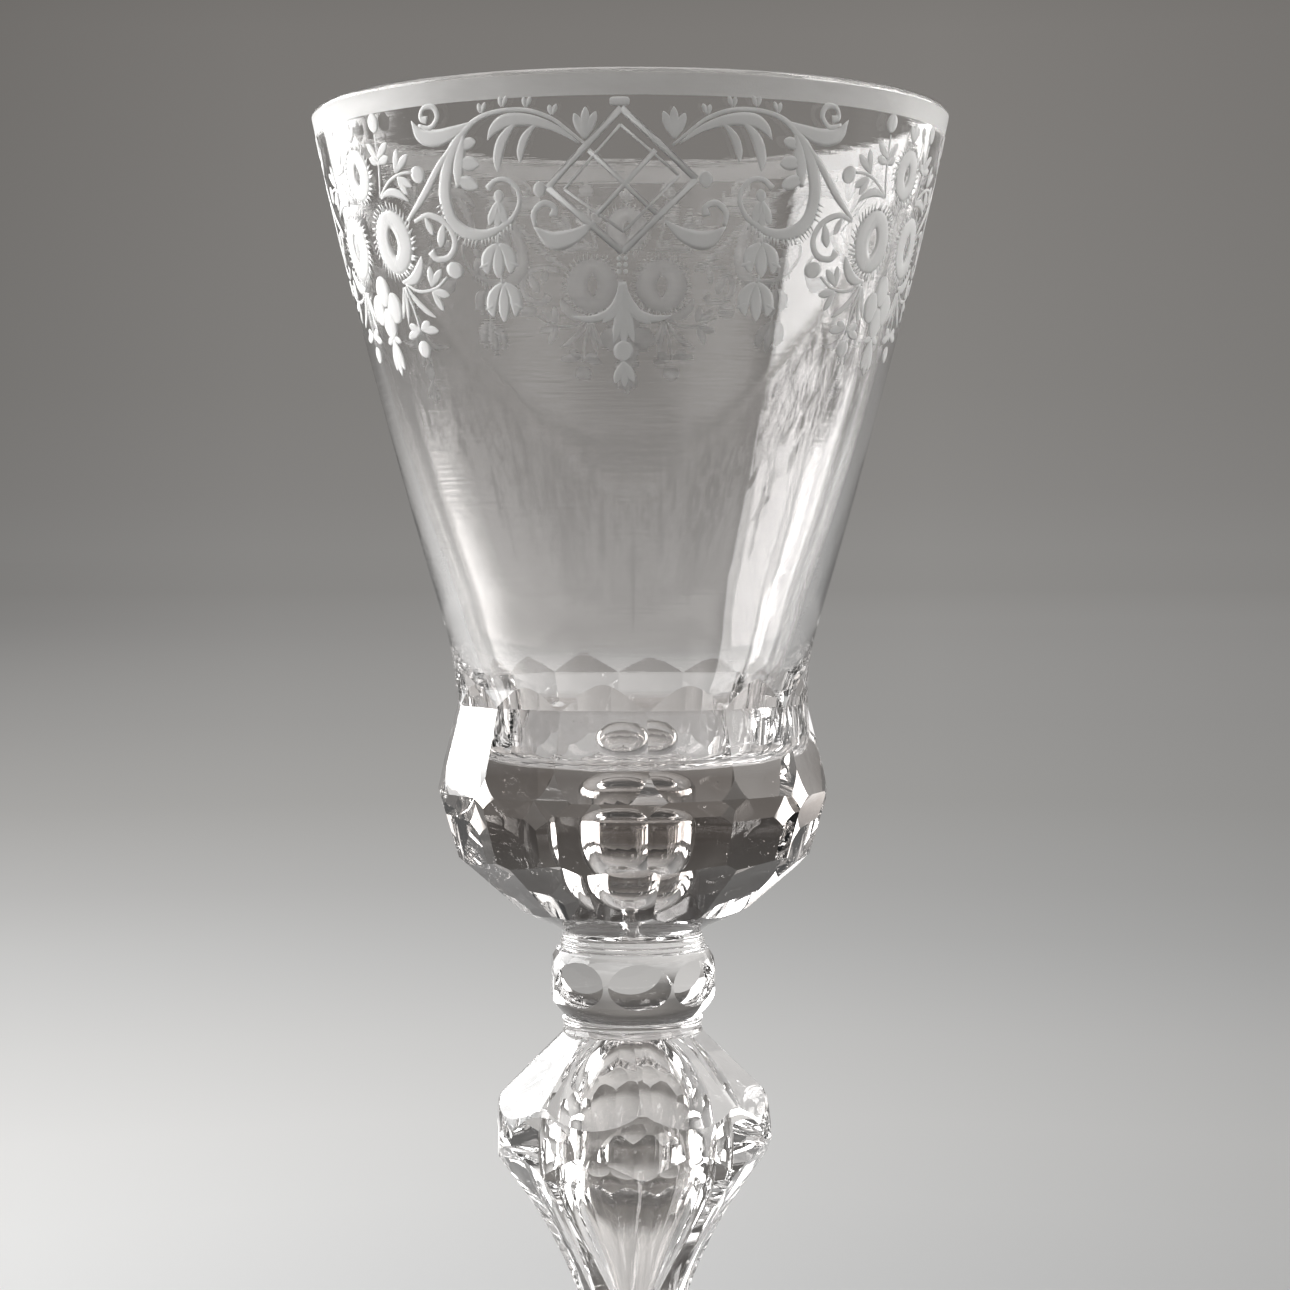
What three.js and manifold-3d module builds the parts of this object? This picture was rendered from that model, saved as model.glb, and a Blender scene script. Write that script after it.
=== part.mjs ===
// A tall stemmed drinking glass: a flared bowl on a thick, facet-cut base that holds an air tear,
// a ball knop, an eight-sided inverted baluster with an air tear of its own, a lower knop and
// a wide foot.
// Millimetres, +Z up. The origin is the middle of the foot's resting plane.
// Every piece was worked hot by itself and fused to the next, so each is a solid of its own,
// stacked on the axis with a hairline of joint_gap between them.
import * as THREE from 'three';
import { mergeVertices } from 'three/addons/utils/BufferGeometryUtils.js';
import Module from 'manifold-3d';

const wasm = await Module();
wasm.setup();

// Stack, from the floor up
const joint_gap = 0.3;
const foot_height = 17.4;
const foot_collar_height = 2.4;
const foot_knop_height = 10.5;
const baluster_height = 45.3;
const stem_collar_height = 1.7;
const ball_knop_height = 9.9;
const bowl_collar_height = 1.3;

// Foot
const foot_radius = 47;
const foot_edge_thickness = 2.8;
const foot_edge_bevel = 0.6;
const foot_neck_radius = 7.4;
const foot_shoulder_radius = 20;
const foot_shoulder_height = 6.4;
const rest_ring_outer_radius = 44;
const rest_ring_inner_radius = 38;
const kick_height = 5.2;
const kick_radius = 24;
const pontil_radius = 9;
const pontil_depth = 1.1;
const pontil_flat_share = 0.7;
const kick_bend_share = 0.9;
const foot_swell_bend_share = 0.3;
const foot_swell_rise_share = 0.5;
const foot_neck_bend_rise = 2.5;

// Foot collar and lower knop
const foot_collar_radius = 9.6;
const foot_collar_neck_radius = 7.6;
const foot_knop_radius = 9.6;
const foot_knop_joint_radius = 6.9;
const foot_knop_top_radius = 6.5;
const foot_knop_bend_share = 0.25;

// Baluster, the widest just under its shoulder
const column_count = 8;
const column_turn = 4;
const baluster_top_radius = 10.3;
const baluster_foot_radius = 6.2;
const belt_flat_distance = 19.75;
const belt_radius = 20.7;
const belt_drop = 14.9;
const belt_lower_bend = 3;
const belt_upper_bend = 2.6;
const shoulder_radius = 19.3;
const shoulder_drop = 8.8;
const petal_top_distance = 9.75;
const petal_slope = 0.93;
const flute_top_distance = 20.7;
const flute_top_drop = 15.1;
const flute_bend_distance = 9.1;
const flute_bend_height = 15.8;
const flute_foot_distance = 5.8;
const arris_blunting = 0.12;
const arris_share = 0.72;

// Collars around the ball knop
const stem_collar_radius = 10.3;
const stem_collar_waist_radius = 9.9;
const bowl_collar_radius = 10.6;
const bowl_collar_groove = 0.25;

// Ball knop with eight oval printies
const knop_radius = 12.6;
const knop_bulge_radius = 6.8;
const knop_equator_drop = 4.2;
const printy_count = 8;
const printy_turn = 4.5;
const printy_distance = 11.75;

// Bowl, outside, heights measured up from the bowl's own bottom
const bowl_height = 119.4;
const rim_radius = 46.1;
const rim_wall = 2;
const rim_round = 0.8;
const crease_height = 34.25;
const flare_foot_height = 45.4;
const flare_foot_radius = 27.2;
const flare_bend_height = 86.8;
const flare_bend_radius = 39.42;
const waist_height = 37.2;
const waist_radius = 25.8;
const waist_bend_height = 40.4;
const crease_radius = 25.95;
const crease_bend_out = 0.9;
const crease_bend_drop = 3.85;
const ridge_height = 21.8;
const ridge_radius = 28.5;
const ridge_bend_in = 0.4;
const ridge_bend_rise = 5.1;
const belly_bend_out = 9.2;
const belly_bend_rise = 4;
const belly_top_drop = 11.5;
const bowl_foot_radius = 10.24;
const bowl_neck_height = 0.8;
const bowl_cove_height = 2.2;
const bowl_cove_radius = 12.6;
const cove_bend_out = 0.36;
const cove_bend_height = 1.3;

// Bowl, inside
const cavity_floor_height = 24.1;
const cavity_floor_dish = 0.5;
const cavity_floor_radius = 15.9;
const cavity_corner_radius = 3.6;
const cavity_tilt = 14.5;
const cavity_knee_height = 40;
const cavity_knee_bend_rise = 5.7;
const cavity_shoulder_rise = 5.1;
const cavity_shoulder_inset = 1.3;
const cavity_bend_drop = 6.8;
const cavity_bend_inset = 2.92;

// Facets of the bowl's base, in fourteen columns: distances are from the axis to the flat
const facet_count = 14;
const facet_turn = 4.7;
const arch_height = 3.5;
const arch_top_distance = 25.78;
const arch_foot_distance = 25.3;
const upper_row_top_distance = 25.15;
const ridge_flat_distance = 28.2;
const lower_row_foot_height = 12.1;
const lower_row_foot_distance = 25.42;
const bottom_row_slope = 1.12;

// Air tear, closed above and open at the joint under the bowl
const tear_top_height = 22.4;
const tear_radius = 6.3;
const tear_shoulder = 2.4;
const tear_belly_height = 18.4;
const tear_neck_height = 11;
const tear_neck_radius = 1.2;
const tear_mouth_bend_height = 3;
const tear_belly_bend = 1.4;
const tear_mouth_radius = 5;

// Air tear of the baluster, closed above and open at the lower knop
const stem_tear_top_drop = 2.1;
const stem_tear_belly_drop = 15.6;
const stem_tear_radius = 9.4;
const stem_tear_dome_share = 0.5;
const stem_tear_belly_bend_rise = 6.3;
const stem_tear_belly_bend_drop = 7.2;
const stem_tear_low_bend_out = 3.4;
const stem_tear_low_bend_rise = 9;
const stem_tear_neck_height = 5;
const stem_tear_neck_radius = 1.2;
const stem_tear_mouth_radius = 2;

// Smoothness of the turned surfaces
const bowl_segments = 42;
const stem_segments = 40;
const curve_steps = 5;
const reach = 2 * foot_radius;
const overshoot = 1;
const same_point = 0.001;
const merge_tolerance = 0.00001;

const glass_colour = 0xdedcd8;
const glass_roughness = 0.03;
const glass_opacity = 0.35;

function glassMaterial() {
  return new THREE.MeshStandardMaterial({
    color: glass_colour,
    roughness: glass_roughness,
    metalness: 0,
    transparent: true,
    opacity: glass_opacity,
  });
}

// A geometry with shared corners merged and no collapsed triangles, as a solid for cutting
function solidOf(geometry) {
  const bare = geometry.clone();
  bare.deleteAttribute('normal');
  bare.deleteAttribute('uv');
  const merged = mergeVertices(bare, merge_tolerance);
  const index = merged.index.array;
  const triangles = [];
  for (let i = 0; i < index.length; i += 3) {
    const [a, b, c] = [index[i], index[i + 1], index[i + 2]];
    if (a !== b && b !== c && c !== a) triangles.push(a, b, c);
  }
  return new wasm.Manifold(new wasm.Mesh({
    numProp: 3,
    vertProperties: new Float32Array(merged.attributes.position.array),
    triVerts: new Uint32Array(triangles),
  }));
}

function geometryOf(solid) {
  const mesh = solid.getMesh();
  const geometry = new THREE.BufferGeometry();
  const step = mesh.numProp;
  const positions = new Float32Array((mesh.vertProperties.length / step) * 3);
  for (let i = 0; i < positions.length / 3; i += 1) {
    positions.set(mesh.vertProperties.subarray(i * step, i * step + 3), i * 3);
  }
  geometry.setAttribute('position', new THREE.BufferAttribute(positions, 3));
  geometry.setIndex(new THREE.BufferAttribute(new Uint32Array(mesh.triVerts), 1));
  geometry.computeVertexNormals();
  return geometry;
}

// A body of revolution about Z from an outline of radius and height, drawn bottom to top
function turned(outline, segments) {
  const points = [];
  for (const spot of outline.getPoints(curve_steps)) {
    const last = points[points.length - 1];
    if (!last || last.distanceTo(spot) > same_point) points.push(spot);
  }
  const geometry = new THREE.LatheGeometry(points, segments);
  // The last column of points is the first one again, and the axis is one line of points
  const spots = geometry.attributes.position;
  for (let j = 0; j < points.length; j += 1) {
    spots.setXYZ(segments * points.length + j, spots.getX(j), spots.getY(j), spots.getZ(j));
  }
  geometry.rotateX(Math.PI / 2);
  return solidOf(geometry);
}

// The glass a wheel takes away: everything outside a line of (distance, height) points,
// as a wide prism square to the radius
function wheelCut(line, angle_degrees) {
  const first = line[0];
  const last = line[line.length - 1];
  const side = new THREE.Shape();
  side.moveTo(first.x, first.y);
  for (const point of line.slice(1)) side.lineTo(point.x, point.y);
  side.lineTo(reach, last.y);
  side.lineTo(reach, first.y);
  side.closePath();
  const geometry = new THREE.ExtrudeGeometry(side, { depth: 2 * reach, bevelEnabled: false });
  geometry.translate(0, 0, -reach);
  geometry.rotateX(Math.PI / 2);
  // Column angles are counted from the front of the glass, which is -Y
  geometry.rotateZ(THREE.MathUtils.degToRad(angle_degrees - 90));
  return solidOf(geometry);
}

function cutAllRound(solid, line, count, first_angle) {
  let result = solid;
  for (let i = 0; i < count; i += 1) {
    result = result.subtract(wheelCut(line, first_angle + (i * 360) / count));
  }
  return result;
}

function point(radius, height) {
  return new THREE.Vector2(radius, height);
}

function pieceMesh(name, solid, height) {
  const mesh = new THREE.Mesh(geometryOf(solid), glassMaterial());
  mesh.name = name;
  mesh.position.z = height;
  return mesh;
}

// Foot: a drawn disc that swells to the stem, with a ground ring to stand on and a hollow kick
function footSolid() {
  const edge_top = foot_edge_thickness;
  const outline = new THREE.Path();
  outline.moveTo(0, kick_height + pontil_depth);
  outline.lineTo(
    pontil_radius * pontil_flat_share, kick_height + pontil_depth * pontil_flat_share,
  );
  outline.lineTo(pontil_radius, kick_height);
  outline.quadraticCurveTo(
    kick_radius, kick_height * kick_bend_share, rest_ring_inner_radius, 0,
  );
  outline.lineTo(rest_ring_outer_radius, 0);
  outline.lineTo(foot_radius, foot_edge_bevel);
  outline.lineTo(foot_radius, edge_top - foot_edge_bevel);
  outline.lineTo(foot_radius - foot_edge_bevel, edge_top);
  outline.quadraticCurveTo(
    foot_shoulder_radius + (foot_radius - foot_shoulder_radius) * foot_swell_bend_share,
    edge_top + (foot_shoulder_height - edge_top) * foot_swell_rise_share,
    foot_shoulder_radius,
    foot_shoulder_height,
  );
  outline.quadraticCurveTo(
    foot_neck_radius, foot_shoulder_height + foot_neck_bend_rise, foot_neck_radius, foot_height,
  );
  outline.lineTo(0, foot_height);
  return turned(outline, bowl_segments);
}

// Foot collar: a thin pinched disc
function footCollarSolid() {
  const middle = foot_collar_height / 2;
  const outline = new THREE.Path();
  outline.moveTo(0, 0);
  outline.lineTo(foot_collar_neck_radius, 0);
  outline.quadraticCurveTo(foot_collar_radius, 0, foot_collar_radius, middle);
  outline.quadraticCurveTo(
    foot_collar_radius, foot_collar_height, foot_collar_neck_radius, foot_collar_height,
  );
  outline.lineTo(0, foot_collar_height);
  return turned(outline, stem_segments);
}

// Lower knop: a plain pressed ball
function footKnopSolid() {
  const middle = foot_knop_height / 2;
  const outline = new THREE.Path();
  outline.moveTo(0, 0);
  outline.lineTo(foot_knop_joint_radius, 0);
  const bend = middle * foot_knop_bend_share;
  outline.bezierCurveTo(
    foot_knop_radius, bend, foot_knop_radius, middle - bend, foot_knop_radius, middle,
  );
  outline.bezierCurveTo(
    foot_knop_radius, middle + bend, foot_knop_radius, foot_knop_height - bend,
    foot_knop_top_radius, foot_knop_height,
  );
  outline.lineTo(0, foot_knop_height);
  return turned(outline, stem_segments);
}

// Baluster: turned to a shoulder, then cut with petals above, flats round the belt and long flutes
function balusterSolid() {
  const sharp = 1 / Math.cos(Math.PI / column_count);
  const flute_top_height = baluster_height - flute_top_drop;
  const belt_height = baluster_height - belt_drop;
  const shoulder_height = baluster_height - shoulder_drop;
  const flute = new THREE.QuadraticBezierCurve(
    point(flute_foot_distance, 0),
    point(flute_bend_distance, flute_bend_height),
    point(flute_top_distance, flute_top_height),
  ).getPoints(curve_steps);

  const outline = new THREE.Path();
  outline.moveTo(0, 0);
  outline.lineTo(baluster_foot_radius, 0);
  const low_belt = belt_height - belt_lower_bend;
  for (const spot of flute) {
    const on_side = spot.y > 0 && spot.y < flute_top_height * arris_share;
    if (on_side) outline.lineTo(spot.x * sharp - arris_blunting, spot.y);
  }
  outline.quadraticCurveTo(belt_radius, low_belt, belt_radius, belt_height);
  outline.quadraticCurveTo(
    belt_radius, belt_height + belt_upper_bend, shoulder_radius, shoulder_height,
  );
  outline.lineTo(baluster_top_radius, baluster_height);
  outline.lineTo(0, baluster_height);
  let solid = turned(outline, stem_segments);

  const belt = [
    point(belt_flat_distance, belt_height - belt_drop),
    point(belt_flat_distance, baluster_height),
  ];
  solid = cutAllRound(solid, belt, column_count, column_turn);

  const between = column_turn + 180 / column_count;
  const petal_reach = shoulder_drop * 2;
  const petal = [
    point(petal_top_distance + petal_slope * petal_reach, baluster_height - petal_reach),
    point(petal_top_distance, baluster_height),
  ];
  solid = cutAllRound(solid, petal, column_count, between);
  const end_slope = (flute[1].x - flute[0].x) / (flute[1].y - flute[0].y);
  const below = point(flute[0].x - end_slope * overshoot, flute[0].y - overshoot);
  return cutAllRound(solid, [below, ...flute], column_count, between).subtract(stemTearPocket());
}

// The air tear of the baluster: an upturned pear that runs down into a thin open neck
function stemTearPocket() {
  const top = baluster_height - stem_tear_top_drop;
  const belly = baluster_height - stem_tear_belly_drop;
  const outline = new THREE.Path();
  outline.moveTo(0, -overshoot);
  outline.lineTo(stem_tear_mouth_radius, -overshoot);
  outline.lineTo(stem_tear_mouth_radius, 0);
  outline.lineTo(stem_tear_neck_radius, stem_tear_neck_height);
  outline.bezierCurveTo(
    stem_tear_neck_radius + stem_tear_low_bend_out, stem_tear_neck_height + stem_tear_low_bend_rise,
    stem_tear_radius, belly - stem_tear_belly_bend_drop,
    stem_tear_radius, belly,
  );
  outline.bezierCurveTo(
    stem_tear_radius, belly + stem_tear_belly_bend_rise,
    stem_tear_radius * stem_tear_dome_share, top,
    0, top,
  );
  return turned(outline, stem_segments);
}

// Stem collar: a short hollow-sided ring between the ball knop and the baluster
function stemCollarSolid() {
  const outline = new THREE.Path();
  outline.moveTo(0, 0);
  outline.lineTo(stem_collar_radius, 0);
  outline.quadraticCurveTo(
    stem_collar_waist_radius, stem_collar_height / 2, stem_collar_radius, stem_collar_height,
  );
  outline.lineTo(0, stem_collar_height);
  return turned(outline, stem_segments);
}

// Ball knop: a round-shouldered bead with flat oval printies
function ballKnopSolid() {
  const equator = ball_knop_height - knop_equator_drop;
  const centre = knop_radius - knop_bulge_radius;
  const foot_angle = Math.asin(-equator / knop_bulge_radius);
  const top_angle = Math.asin(knop_equator_drop / knop_bulge_radius);
  const outline = new THREE.Path();
  outline.moveTo(0, 0);
  outline.lineTo(centre + knop_bulge_radius * Math.cos(foot_angle), 0);
  outline.absarc(centre, equator, knop_bulge_radius, foot_angle, top_angle, false);
  outline.lineTo(0, ball_knop_height);
  const printy = [
    point(printy_distance, -overshoot),
    point(printy_distance, ball_knop_height + overshoot),
  ];
  return cutAllRound(turned(outline, stem_segments), printy, printy_count, printy_turn);
}

// Bowl collar: a thin disc with a fine groove round its edge
function bowlCollarSolid() {
  const middle = bowl_collar_height / 2;
  const outline = new THREE.Path();
  outline.moveTo(0, 0);
  outline.lineTo(bowl_collar_radius - bowl_collar_groove, 0);
  outline.lineTo(bowl_collar_radius, middle / 2);
  outline.lineTo(bowl_collar_radius - bowl_collar_groove, middle);
  outline.lineTo(bowl_collar_radius, middle + middle / 2);
  outline.lineTo(bowl_collar_radius - bowl_collar_groove, bowl_collar_height);
  outline.lineTo(0, bowl_collar_height);
  return turned(outline, stem_segments);
}

// The bowl's turned base, from its joint up to the crease
function bowlBaseBlank() {
  const outline = new THREE.Path();
  outline.moveTo(0, 0);
  outline.lineTo(bowl_foot_radius, 0);
  outline.lineTo(bowl_foot_radius, bowl_neck_height);
  outline.quadraticCurveTo(
    bowl_foot_radius + cove_bend_out, cove_bend_height, bowl_cove_radius, bowl_cove_height,
  );
  outline.bezierCurveTo(
    bowl_cove_radius + belly_bend_out, bowl_cove_height + belly_bend_rise,
    ridge_radius, ridge_height - belly_top_drop,
    ridge_radius, ridge_height,
  );
  outline.bezierCurveTo(
    ridge_radius - ridge_bend_in, ridge_height + ridge_bend_rise,
    crease_radius + crease_bend_out, crease_height - crease_bend_drop,
    crease_radius, crease_height,
  );
  outline.lineTo(0, crease_height);
  return turned(outline, bowl_segments);
}

// The bowl's turned wall, from the crease up to the fire-polished rim, still solid
function bowlWallBlank() {
  const outline = new THREE.Path();
  outline.moveTo(0, crease_height);
  outline.lineTo(crease_radius, crease_height);
  outline.lineTo(waist_radius, waist_height);
  outline.quadraticCurveTo(waist_radius, waist_bend_height, flare_foot_radius, flare_foot_height);
  outline.quadraticCurveTo(
    flare_bend_radius, flare_bend_height, rim_radius, bowl_height - rim_round,
  );
  outline.lineTo(rim_radius - rim_round, bowl_height);
  outline.lineTo(0, bowl_height);
  return turned(outline, bowl_segments);
}

// The hollow of the bowl: a dished floor, a cone up to the knee and the flare above it
function bowlCavity() {
  const inner_rim = rim_radius - rim_wall;
  const tilt = THREE.MathUtils.degToRad(cavity_tilt);
  const slope = Math.tan(tilt);
  const floor_edge_height = cavity_floor_height + cavity_floor_dish;
  const wall_foot = point(
    cavity_floor_radius + cavity_corner_radius * Math.cos(tilt),
    floor_edge_height + cavity_corner_radius * (1 - Math.sin(tilt)),
  );
  const knee_radius = wall_foot.x + slope * (cavity_knee_height - wall_foot.y);
  const outline = new THREE.Path();
  outline.moveTo(0, cavity_floor_height);
  outline.lineTo(cavity_floor_radius, floor_edge_height);
  outline.quadraticCurveTo(
    wall_foot.x - slope * (wall_foot.y - floor_edge_height), floor_edge_height,
    wall_foot.x, wall_foot.y,
  );
  outline.lineTo(knee_radius, cavity_knee_height);
  outline.quadraticCurveTo(
    knee_radius + slope * cavity_knee_bend_rise, cavity_knee_height + cavity_knee_bend_rise,
    flare_foot_radius - cavity_shoulder_inset, flare_foot_height + cavity_shoulder_rise,
  );
  outline.quadraticCurveTo(
    flare_bend_radius - cavity_bend_inset, flare_bend_height - cavity_bend_drop,
    inner_rim - rim_round / 2, bowl_height - rim_round,
  );
  outline.lineTo(inner_rim, bowl_height);
  outline.lineTo(inner_rim, bowl_height + overshoot);
  outline.lineTo(0, bowl_height + overshoot);
  return turned(outline, bowl_segments);
}

// The air tear: a drum with a round bottom, a thin neck and a trumpet mouth at the joint
function tearPocket() {
  const outline = new THREE.Path();
  outline.moveTo(0, -overshoot);
  outline.lineTo(tear_mouth_radius, -overshoot);
  outline.lineTo(tear_mouth_radius, 0);
  outline.quadraticCurveTo(
    tear_neck_radius, tear_mouth_bend_height, tear_neck_radius, tear_neck_height,
  );
  outline.quadraticCurveTo(
    tear_radius, tear_neck_height + tear_belly_bend, tear_radius, tear_belly_height,
  );
  outline.lineTo(tear_radius, tear_top_height - tear_shoulder);
  outline.quadraticCurveTo(tear_radius, tear_top_height, 0, tear_top_height);
  return turned(outline, stem_segments);
}

// Bowl: two turned blanks, each cut by its own rows of flats, joined at the crease and hollowed
function bowlSolid() {
  const middle_column = facet_turn + 180 / facet_count;
  const arch_slope = (arch_top_distance - arch_foot_distance) / arch_height;
  const arch_top = crease_height + arch_height + overshoot;
  const arch = [
    point(arch_foot_distance, crease_height),
    point(arch_top_distance + arch_slope * overshoot, arch_top),
    point(reach, arch_top),
  ];
  const wall = cutAllRound(bowlWallBlank(), arch, facet_count, middle_column);

  const row_one_slope = (ridge_flat_distance - upper_row_top_distance) / (crease_height - ridge_height);
  const row_two_drop = ridge_height - lower_row_foot_height;
  const flats = [
    point(lower_row_foot_distance - bottom_row_slope * lower_row_foot_height, 0),
    point(lower_row_foot_distance, lower_row_foot_height),
    point(ridge_flat_distance, lower_row_foot_height + row_two_drop),
    point(upper_row_top_distance - row_one_slope * overshoot, crease_height + overshoot),
  ];
  const base = cutAllRound(bowlBaseBlank(), flats, facet_count, middle_column);
  return base.add(wall).subtract(bowlCavity()).subtract(tearPocket());
}

const pieces = [
  ['foot', footSolid, foot_height],
  ['foot_collar', footCollarSolid, foot_collar_height],
  ['foot_knop', footKnopSolid, foot_knop_height],
  ['baluster', balusterSolid, baluster_height],
  ['stem_collar', stemCollarSolid, stem_collar_height],
  ['ball_knop', ballKnopSolid, ball_knop_height],
  ['bowl_collar', bowlCollarSolid, bowl_collar_height],
  ['bowl', bowlSolid, bowl_height],
];

const goblet = new THREE.Group();
let level = 0;
for (const [name, makeSolid, height] of pieces) {
  goblet.add(pieceMesh(name, makeSolid(), level));
  level += height + joint_gap;
}

export default goblet;
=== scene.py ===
# %% [markdown]
# A tall stemmed drinking glass of the old Bohemian kind, in clear soda-potash glass with a faint
# grey-mauve cast. From the table up it has a wide foot, a thin collar, a pressed knop, a baluster
# cut with eight sides, another collar, a ball knop with oval printies, a fine collar and a tall
# flared bowl. The bowl stands on a thick base cut in fourteen columns of flats round an air tear,
# and the baluster holds a larger tear of its own.
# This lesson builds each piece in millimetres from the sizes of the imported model, cuts it the way
# a glass cutter does, and gives every surface its own finish.

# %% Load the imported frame
import math
import random
import bpy
import bmesh
import numpy as np
from mathutils import Matrix, Vector


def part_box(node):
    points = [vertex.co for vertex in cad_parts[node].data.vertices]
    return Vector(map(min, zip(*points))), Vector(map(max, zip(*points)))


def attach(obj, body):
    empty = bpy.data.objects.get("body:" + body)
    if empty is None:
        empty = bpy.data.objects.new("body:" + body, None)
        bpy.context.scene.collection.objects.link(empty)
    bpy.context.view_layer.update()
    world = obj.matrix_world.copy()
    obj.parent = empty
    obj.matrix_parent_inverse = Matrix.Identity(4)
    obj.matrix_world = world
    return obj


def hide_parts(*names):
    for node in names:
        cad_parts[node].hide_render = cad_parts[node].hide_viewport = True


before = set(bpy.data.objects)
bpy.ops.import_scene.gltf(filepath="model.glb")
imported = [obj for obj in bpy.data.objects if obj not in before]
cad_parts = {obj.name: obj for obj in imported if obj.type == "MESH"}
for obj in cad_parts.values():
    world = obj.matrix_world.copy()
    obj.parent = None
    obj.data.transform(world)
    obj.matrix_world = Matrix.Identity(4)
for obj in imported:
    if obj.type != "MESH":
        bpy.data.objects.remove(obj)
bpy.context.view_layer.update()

# %% [markdown]
# Every size below is in millimetres, counted as on the drawing of the glass. Blender works in
# metres, so the pieces are made in millimetres and shrunk once, when they are put on the table.
# The real pieces are fused hot, with no air between them. The frame has a hairline between its
# solids, so each piece here grows to the middle of that hairline and meets its neighbour there.

# %% Sizes that all pieces share
MM = 0.001
joint_gap, joint_slack = 0.3, 0.001
joint_reach = joint_gap / 2 - joint_slack
scene = bpy.context.scene


def piece_level(node):
    """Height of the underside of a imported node, in millimetres."""
    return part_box(node)[0].z / MM


for node in sorted(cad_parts):
    low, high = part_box(node)
    print(f"{node}: {low.z / MM:.1f} to {high.z / MM:.1f} mm, radius {high.x / MM:.1f} mm")

# %% [markdown]
# Lines on a turned piece. A turner's profile is made of strokes: straight runs, single bends and
# double bends, with a corner between two strokes. Each stroke keeps its own points, so that light
# runs smoothly along it and breaks cleanly at its ends.

# %% Strokes of a profile
def pulled(steps, *pulls):
    """A curve from the first place to the last, drawn towards the ones between."""
    share = np.linspace(0, 1, steps + 1)[:, None]
    last = len(pulls) - 1
    return sum(np.array(pull) * math.comb(last, k) * share ** k * (1 - share) ** (last - k)
               for k, pull in enumerate(pulls))


def straight(start, end, steps=1):
    return pulled(steps, start, end)


def bend(start, pull, end, steps):
    return pulled(steps, start, pull, end)


def sweep(start, first_pull, last_pull, end, steps):
    return pulled(steps, start, first_pull, last_pull, end)


def arc(centre, radius, start_degrees, end_degrees, steps):
    angle = np.radians(np.linspace(start_degrees, end_degrees, steps + 1))
    return np.stack([centre[0] + radius * np.cos(angle), centre[1] + radius * np.sin(angle)], 1)


def joined(*runs):
    """Runs that pass smoothly into each other, as one stroke."""
    return np.concatenate([runs[0], *(run[1:] for run in runs[1:])])


print("a bend in four steps:", bend((0, 0), (1, 0), (1, 1), 4).round(2).tolist())

# %% [markdown]
# Turning. The profile goes from the axis out and back to the axis, with the glass on its left, and
# is swept round in many columns. The number of each stroke is kept on its faces. That is how a
# face still knows, after it has been cut, which curve it came from and which finish it takes.

# %% Turn a profile into a blank
nearly_nothing = 1e-9


def marked_object(name, mesh, marks):
    """A mesh as an object of the scene, with the number of a stroke on each face."""
    mesh.attributes.new("stroke", "INT", "FACE").data.foreach_set("value", marks)
    made = bpy.data.objects.new(name, mesh)
    scene.collection.objects.link(made)
    return made


def object_from(name, points, faces, marks):
    mesh = bpy.data.meshes.new(name)
    mesh.from_pydata([tuple(p) for p in points], [], faces)
    return marked_object(name, mesh, marks)


def turn(name, strokes, columns=192):
    """Sweeps the strokes round the axis, from their first point on it to their last."""
    points, faces, marks = [], [], []
    angles = [2 * math.pi * j / columns for j in range(columns)]

    def ring(radius, height):
        if radius < nearly_nothing:
            points.append((0, 0, height))
            return [len(points) - 1] * columns
        first = len(points)
        points.extend((radius * math.sin(a), -radius * math.cos(a), height) for a in angles)
        return list(range(first, first + columns))

    row = ring(*strokes[0][0])
    for number, stroke in enumerate(strokes):
        for spot in stroke[1:]:
            above = ring(*spot)
            for j in range(columns):
                k = (j + 1) % columns
                corners = [row[j], row[k], above[k], above[j]]
                faces.append([c for i, c in enumerate(corners) if c != corners[i - 1]])
                marks.append(number)
            row = above
    return object_from(name, points, faces, marks)


# %% [markdown]
# Cutting. A cutter holds the glass against a flat wheel, so every facet is a plane. The wheel is
# described by the line it leaves on the glass, as distance from the axis and height, and by its
# direction round the glass. What all the wheels leave together is a many-sided block, made here
# by slicing a plain block.

# %% Wheels and the block they leave
CUT = 100
HOLLOW = 200
FAR = 150.0
same_place = 1e-6


def heading(angle_degrees):
    """The way out from the axis, as x and y, at an angle round the glass from the front."""
    a = math.radians(angle_degrees)
    return math.sin(a), -math.cos(a)


def wheel(lower, upper, angle_degrees):
    """A plane through two (distance, height) points, facing out at that angle."""
    outwards = Vector((*heading(angle_degrees), 0))
    rise, run = upper[1] - lower[1], upper[0] - lower[0]
    normal = (outwards * rise - Vector((0, 0, run))).normalized()
    return outwards * lower[0] + Vector((0, 0, lower[1])), normal


def settle(shape, mesh):
    """Turns the faces of a shape outwards and writes it into the mesh."""
    bmesh.ops.recalc_face_normals(shape, faces=shape.faces[:])
    shape.to_mesh(mesh)
    shape.free()


def block_between(wheels):
    shape = bmesh.new()
    bmesh.ops.create_cube(shape, size=2 * FAR)
    for spot, normal in wheels:
        everything = shape.verts[:] + shape.edges[:] + shape.faces[:]
        bmesh.ops.bisect_plane(shape, geom=everything, dist=same_place, plane_co=spot,
                               plane_no=normal, clear_outer=True)
        open_edges = [edge for edge in shape.edges if edge.is_boundary]
        bmesh.ops.holes_fill(shape, edges=open_edges, sides=0)
    mesh = bpy.data.meshes.new("block")
    settle(shape, mesh)
    return marked_object("block", mesh, [CUT] * len(mesh.polygons))


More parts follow.
